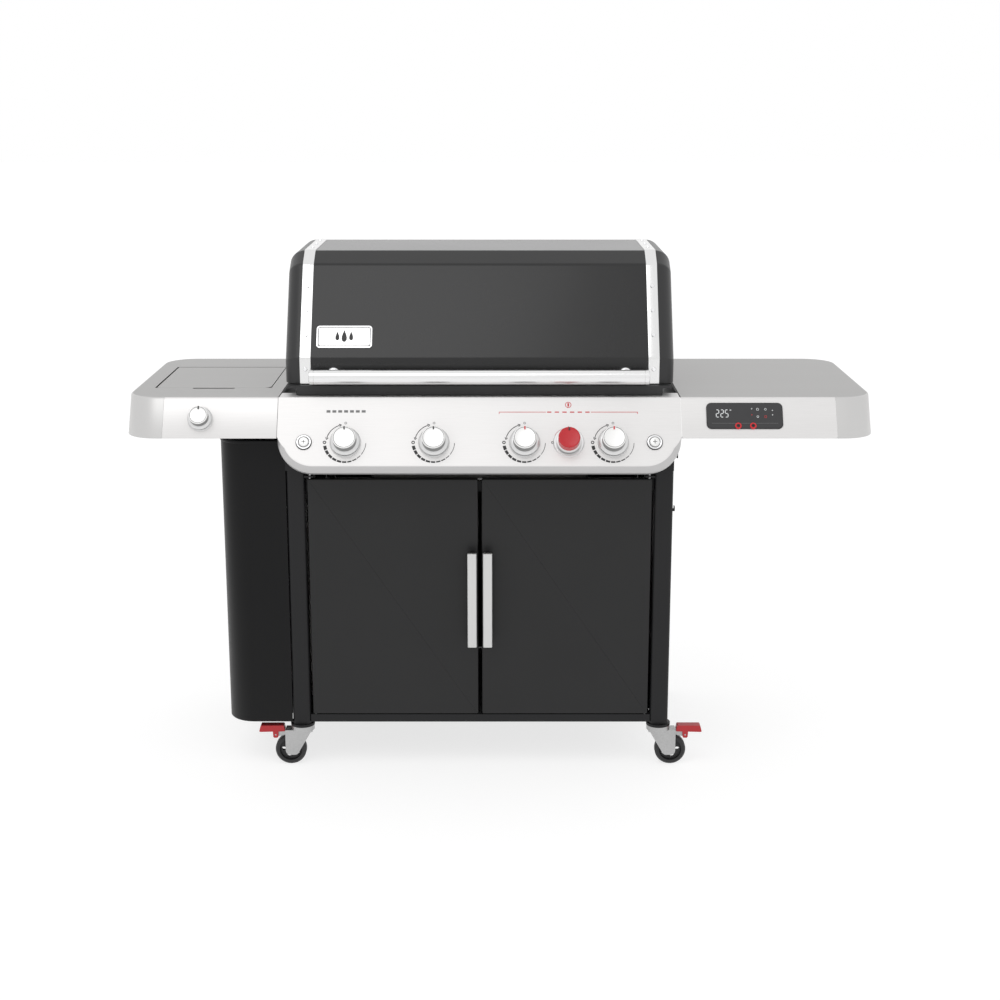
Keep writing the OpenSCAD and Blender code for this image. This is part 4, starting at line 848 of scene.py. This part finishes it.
burner_lid = Shape()
lid_plan = rounded([[BURN_X0 + 0.004, BURN_Y0 + 0.001], [BURN_X1 - 0.002, BURN_Y0 + 0.001],
                    [BURN_X1 - 0.002, BURN_PIN_Y + 0.002], [BURN_X0 + 0.004, BURN_PIN_Y + 0.002]],
                   [0.010, 0.018, 0.003, 0.003])
burner_lid.slab(lid_plan, edge(TOP - SHEET, TOP, 0.0008), lambda p: here(*np.moveaxis(p, -1, 0)))
for x in (BURN_X0 + 0.004, BURN_X1 - 0.004):
    burner_lid.block((x - 0.001, BURN_Y0 + 0.026, TOP - 0.010),
                     (x + 0.001, BURN_PIN_Y + 0.002, TOP - 0.001), 0.0004)
burner_lid.build("burner_cover", [TABLE_STEEL], "burner_lid", ["side_burner_lid"], "table_steel")

# ---- Display ----

screen = Shape()
spot = slope_frame(DISPLAY_X, DISPLAY_S)
screen.slab(box_line(-0.083, 0.083, -0.026, 0.026, 0.007), [(0.001, -0.020), (0, -0.019), (0, 0.0005)],
            lambda p: placed(p, spot), 1)
screen.slab(box_line(-0.088, 0.088, -0.032, 0.032, 0.012), edge(0.0, 0.003, 0.0012),
            lambda p: placed(p, spot), 1)
screen.slab(box_line(-0.0855, 0.0855, -0.0295, 0.0295, 0.010), [(0, 0.002), (0, 0.0031), (0.0008, 0.0032),
            (0.0016, 0.0032)], lambda p: placed(p, spot))
for x in PORT_XS:
    port = (placed(np.array([x, -0.025, 0.0]), spot), *spot[1:])
    screen.grid(placed(turned([(0.0018, 0.0), (0.0044, 0.0), (0.0075, 0.0), (0.0075, 0.0050), (0.0069, 0.0058),
                               (0.0060, 0.0060), (0.0048, 0.0058), (0.0042, 0.0050)], 48), port), kind=3, rows=True)
    screen.grid(placed(turned([(0.0018, -0.004), (0.0043, -0.004), (0.0043, 0.0052), (0.0018, 0.0052)], 32), port),
                kind=1, rows=True)

SEGMENTS = {"a": ((0, 2), (1, 2)), "b": ((1, 1), (1, 2)), "c": ((1, 0), (1, 1)), "d": ((0, 0), (1, 0)),
            "e": ((0, 0), (0, 1)), "f": ((0, 1), (0, 2)), "g": ((0, 1), (1, 1))}
DIGITS = {"1": "bc", "2": "abged", "0": "abcdef", "5": "afgcd"}
for i, digit in enumerate("225"):
    for key in DIGITS[digit]:
        p, q = (np.array(v, float) * [0.0062, 0.0088] + [-0.0655 + i * 0.0105, -0.0035] for v in SEGMENTS[key])
        along = unit((q - p)[None])[0] * 0.0009
        stroke(screen, spot, p + along, q - along, 0.0016, 2, 0.0031, 0.0034)
for x, y, r, kind in ((-0.0325, 0.0135, 0.0016, 2), (0.0165, 0.0170, 0.0013, 2), (0.0300, 0.0155, 0.0030, 2),
                      (0.0480, 0.0155, 0.0026, 2), (0.0300, -0.0025, 0.0026, 2), (0.0480, -0.0025, 0.0030, 3),
                      (0.0640, 0.0130, 0.0012, 2), (0.0640, 0.0020, 0.0012, 2), (0.0165, 0.0020, 0.0013, 3)):
    centre = (placed(np.array([x, y, 0.003]), spot), *spot[1:])
    ring(screen, centre, 0.0, 0.0, r, 0.0007, kind)
stroke(screen, spot, [-0.076, -0.0185], [0.076, -0.0185], 0.0005, 4, 0.0031, 0.00335)
screen.build("display_panel", [LENS, LENS_RIM, GLOW, INK_RED, INK_GREY], "root",
             ["display_module"], "display_lens")

# ---- Doors ----

for side, name in ((-1, "left"), (1, "right")):
    door = Shape()
    xs = sorted([CAB + side * DOOR_GAP / 2, CAB + side * (DOOR_PIN_X + 0.006)])
    outline = box_line(xs[0], xs[1], DOOR_Z, DOOR_TOP, 0.004, 4)
    levels = [(0.0035, 0.0015), (0.0015, 0.0015), (0.0015, DOOR_T), (0.0, DOOR_T)]
    t = np.linspace(0, np.pi / 2, 5)
    levels += [(0.003 * (1 - math.cos(a)), 0.003 - 0.003 * math.sin(a)) for a in t] + [(0.0042, 0.0)]
    door.slab(outline, levels, lambda p: here(p[..., 0], p[..., 2], p[..., 1]))
    pin = CAB + side * DOOR_PIN_X
    for z in (DOOR_Z + 0.0005, DOOR_TOP - 0.0145):
        hx = sorted([pin + side * 0.0055, pin - side * 0.012])
        door.block((hx[0], 0.001, z), (hx[1], DOOR_T - 0.0002, z + 0.014))
    door.build(f"door_{name}_sheet", [DOOR_BLACK], f"{name}_door", [f"door_{name}"], "door_enamel")
    pull = Shape()
    grip_x = CAB + side * (DOOR_GAP / 2 + 0.0138)
    low, high = DOOR_Z + 0.182, DOOR_Z + 0.412
    pull.slab(box_line(grip_x - 0.011, grip_x + 0.011, -0.042, -0.030, 0.0035, 5), edge(low, high, 0.0012),
              lambda p: here(*np.moveaxis(p, -1, 0)))
    for z in (low + 0.005, high - 0.017):
        pull.slab(box_line(grip_x - 0.007, grip_x + 0.007, z, z + 0.012, 0.003, 4), [(0, -0.034), (0, 0.0)],
                  lambda p: here(p[..., 0], p[..., 2], p[..., 1]), 1)
    pull.build(f"door_{name}_pull", [GRIP_METAL, SATIN_BLACK], f"{name}_door", [f"door_handle_{name}"],
               "door_handle_metal")

# ---- Tank shroud ----


def shroud_path(d, n=12):
    """Plan of the shroud from the front leg round two corners of radius 64 mm to the rear leg."""
    r = 0.064 - d
    x0, x1 = SHROUD_X + d, CAB - LEG_X - 0.022
    y0, y1 = d, CAB_D - d
    a = np.linspace(1.5 * np.pi, np.pi, n + 1)
    b = np.linspace(np.pi, 0.5 * np.pi, n + 1)
    front = np.stack([x0 + r + r * np.cos(a), y0 + r + r * np.sin(a)], 1)
    back = np.stack([x0 + r + r * np.cos(b), y1 - r + r * np.sin(b)], 1)
    return np.concatenate([[[x1, y0], [x0 + r + 0.001, y0]], front, back, [[x0 + r + 0.001, y1], [x1, y1]]])


t = np.linspace(0, np.pi, 9)
roll = [(0.001 + 0.003 * math.cos(a), SHROUD_TOP - 0.003 + 0.003 * math.sin(a)) for a in t]
z0 = 0.112
section = [(0.012, z0), (0.012, z0 + 0.004), (0.003, z0 + 0.004), (0.002, z0 + 0.006),
           (0.002, SHROUD_TOP - 0.009), (0.004, SHROUD_TOP - 0.0075)] + roll + [
    (-0.002, SHROUD_TOP - 0.0065), (-0.0012, SHROUD_TOP - 0.008),
    (0.0, SHROUD_TOP - 0.009), (0.0, z0 + 0.003), (0.003, z0)]
shroud = Shape()
shroud.grid(np.stack([np.concatenate([shroud_path(d), np.full((30, 1), z)], 1)
                      for d, z in section], 1) + [0, EDGE, 0])
shroud.build("tank_shroud_skin", [SHROUD_BLACK], "root", ["tank_shroud"], "shroud_paint", 50)


# ---- Floor, light and camera ----

def studio_plane(name, size, z, colour):
    mesh = bpy.data.meshes.new(name)
    mesh.from_pydata([(-size, -size, z), (size, -size, z), (size, size, z), (-size, size, z)], [], [(0, 1, 2, 3)])
    obj = bpy.data.objects.new(name, mesh)
    mesh.materials.append(Finish(name, colour, Roughness=0.9, Specular_IOR_Level=0.1,
                                 Emission_Color=(1.0, 1.0, 1.0), Emission_Strength=0.74).material)
    bpy.context.scene.collection.objects.link(obj)
    return obj


def softbox(name, place, look_at, size, power):
    lamp = bpy.data.lights.new(name, "AREA")
    lamp.shape, lamp.size, lamp.size_y, lamp.energy = "RECTANGLE", *size, power
    obj = bpy.data.objects.new(name, lamp)
    bpy.context.scene.collection.objects.link(obj)
    obj.location = place
    obj.rotation_euler = (Vector(look_at) - Vector(place)).to_track_quat("-Z", "Y").to_euler()


studio_plane("studio_floor", 30, 0.0, (0.30, 0.30, 0.30))
softbox("key_softbox", (-1.2, -2.6, 4.6), (0, 0, 0.6), (3.0, 2.0), 26)
world = bpy.data.worlds.new("studio")
world.use_nodes = True
world.node_tree.nodes["Background"].inputs["Color"].default_value = (1.0, 1.0, 1.0, 1)
world.node_tree.nodes["Background"].inputs["Strength"].default_value = 1.0
scene = bpy.context.scene
scene.world = world
scene.view_settings.view_transform = "Standard"

lens = bpy.data.cameras.new("camera")
lens.lens, lens.sensor_width = 61.889, 36.0
camera = bpy.data.objects.new("camera", lens)
scene.collection.objects.link(camera)
camera.location = (0.00046, -3.91093 + EDGE, 1.62755)
camera.rotation_euler = (math.pi / 2 - 0.2413207, 0, 0)
scene.camera = camera
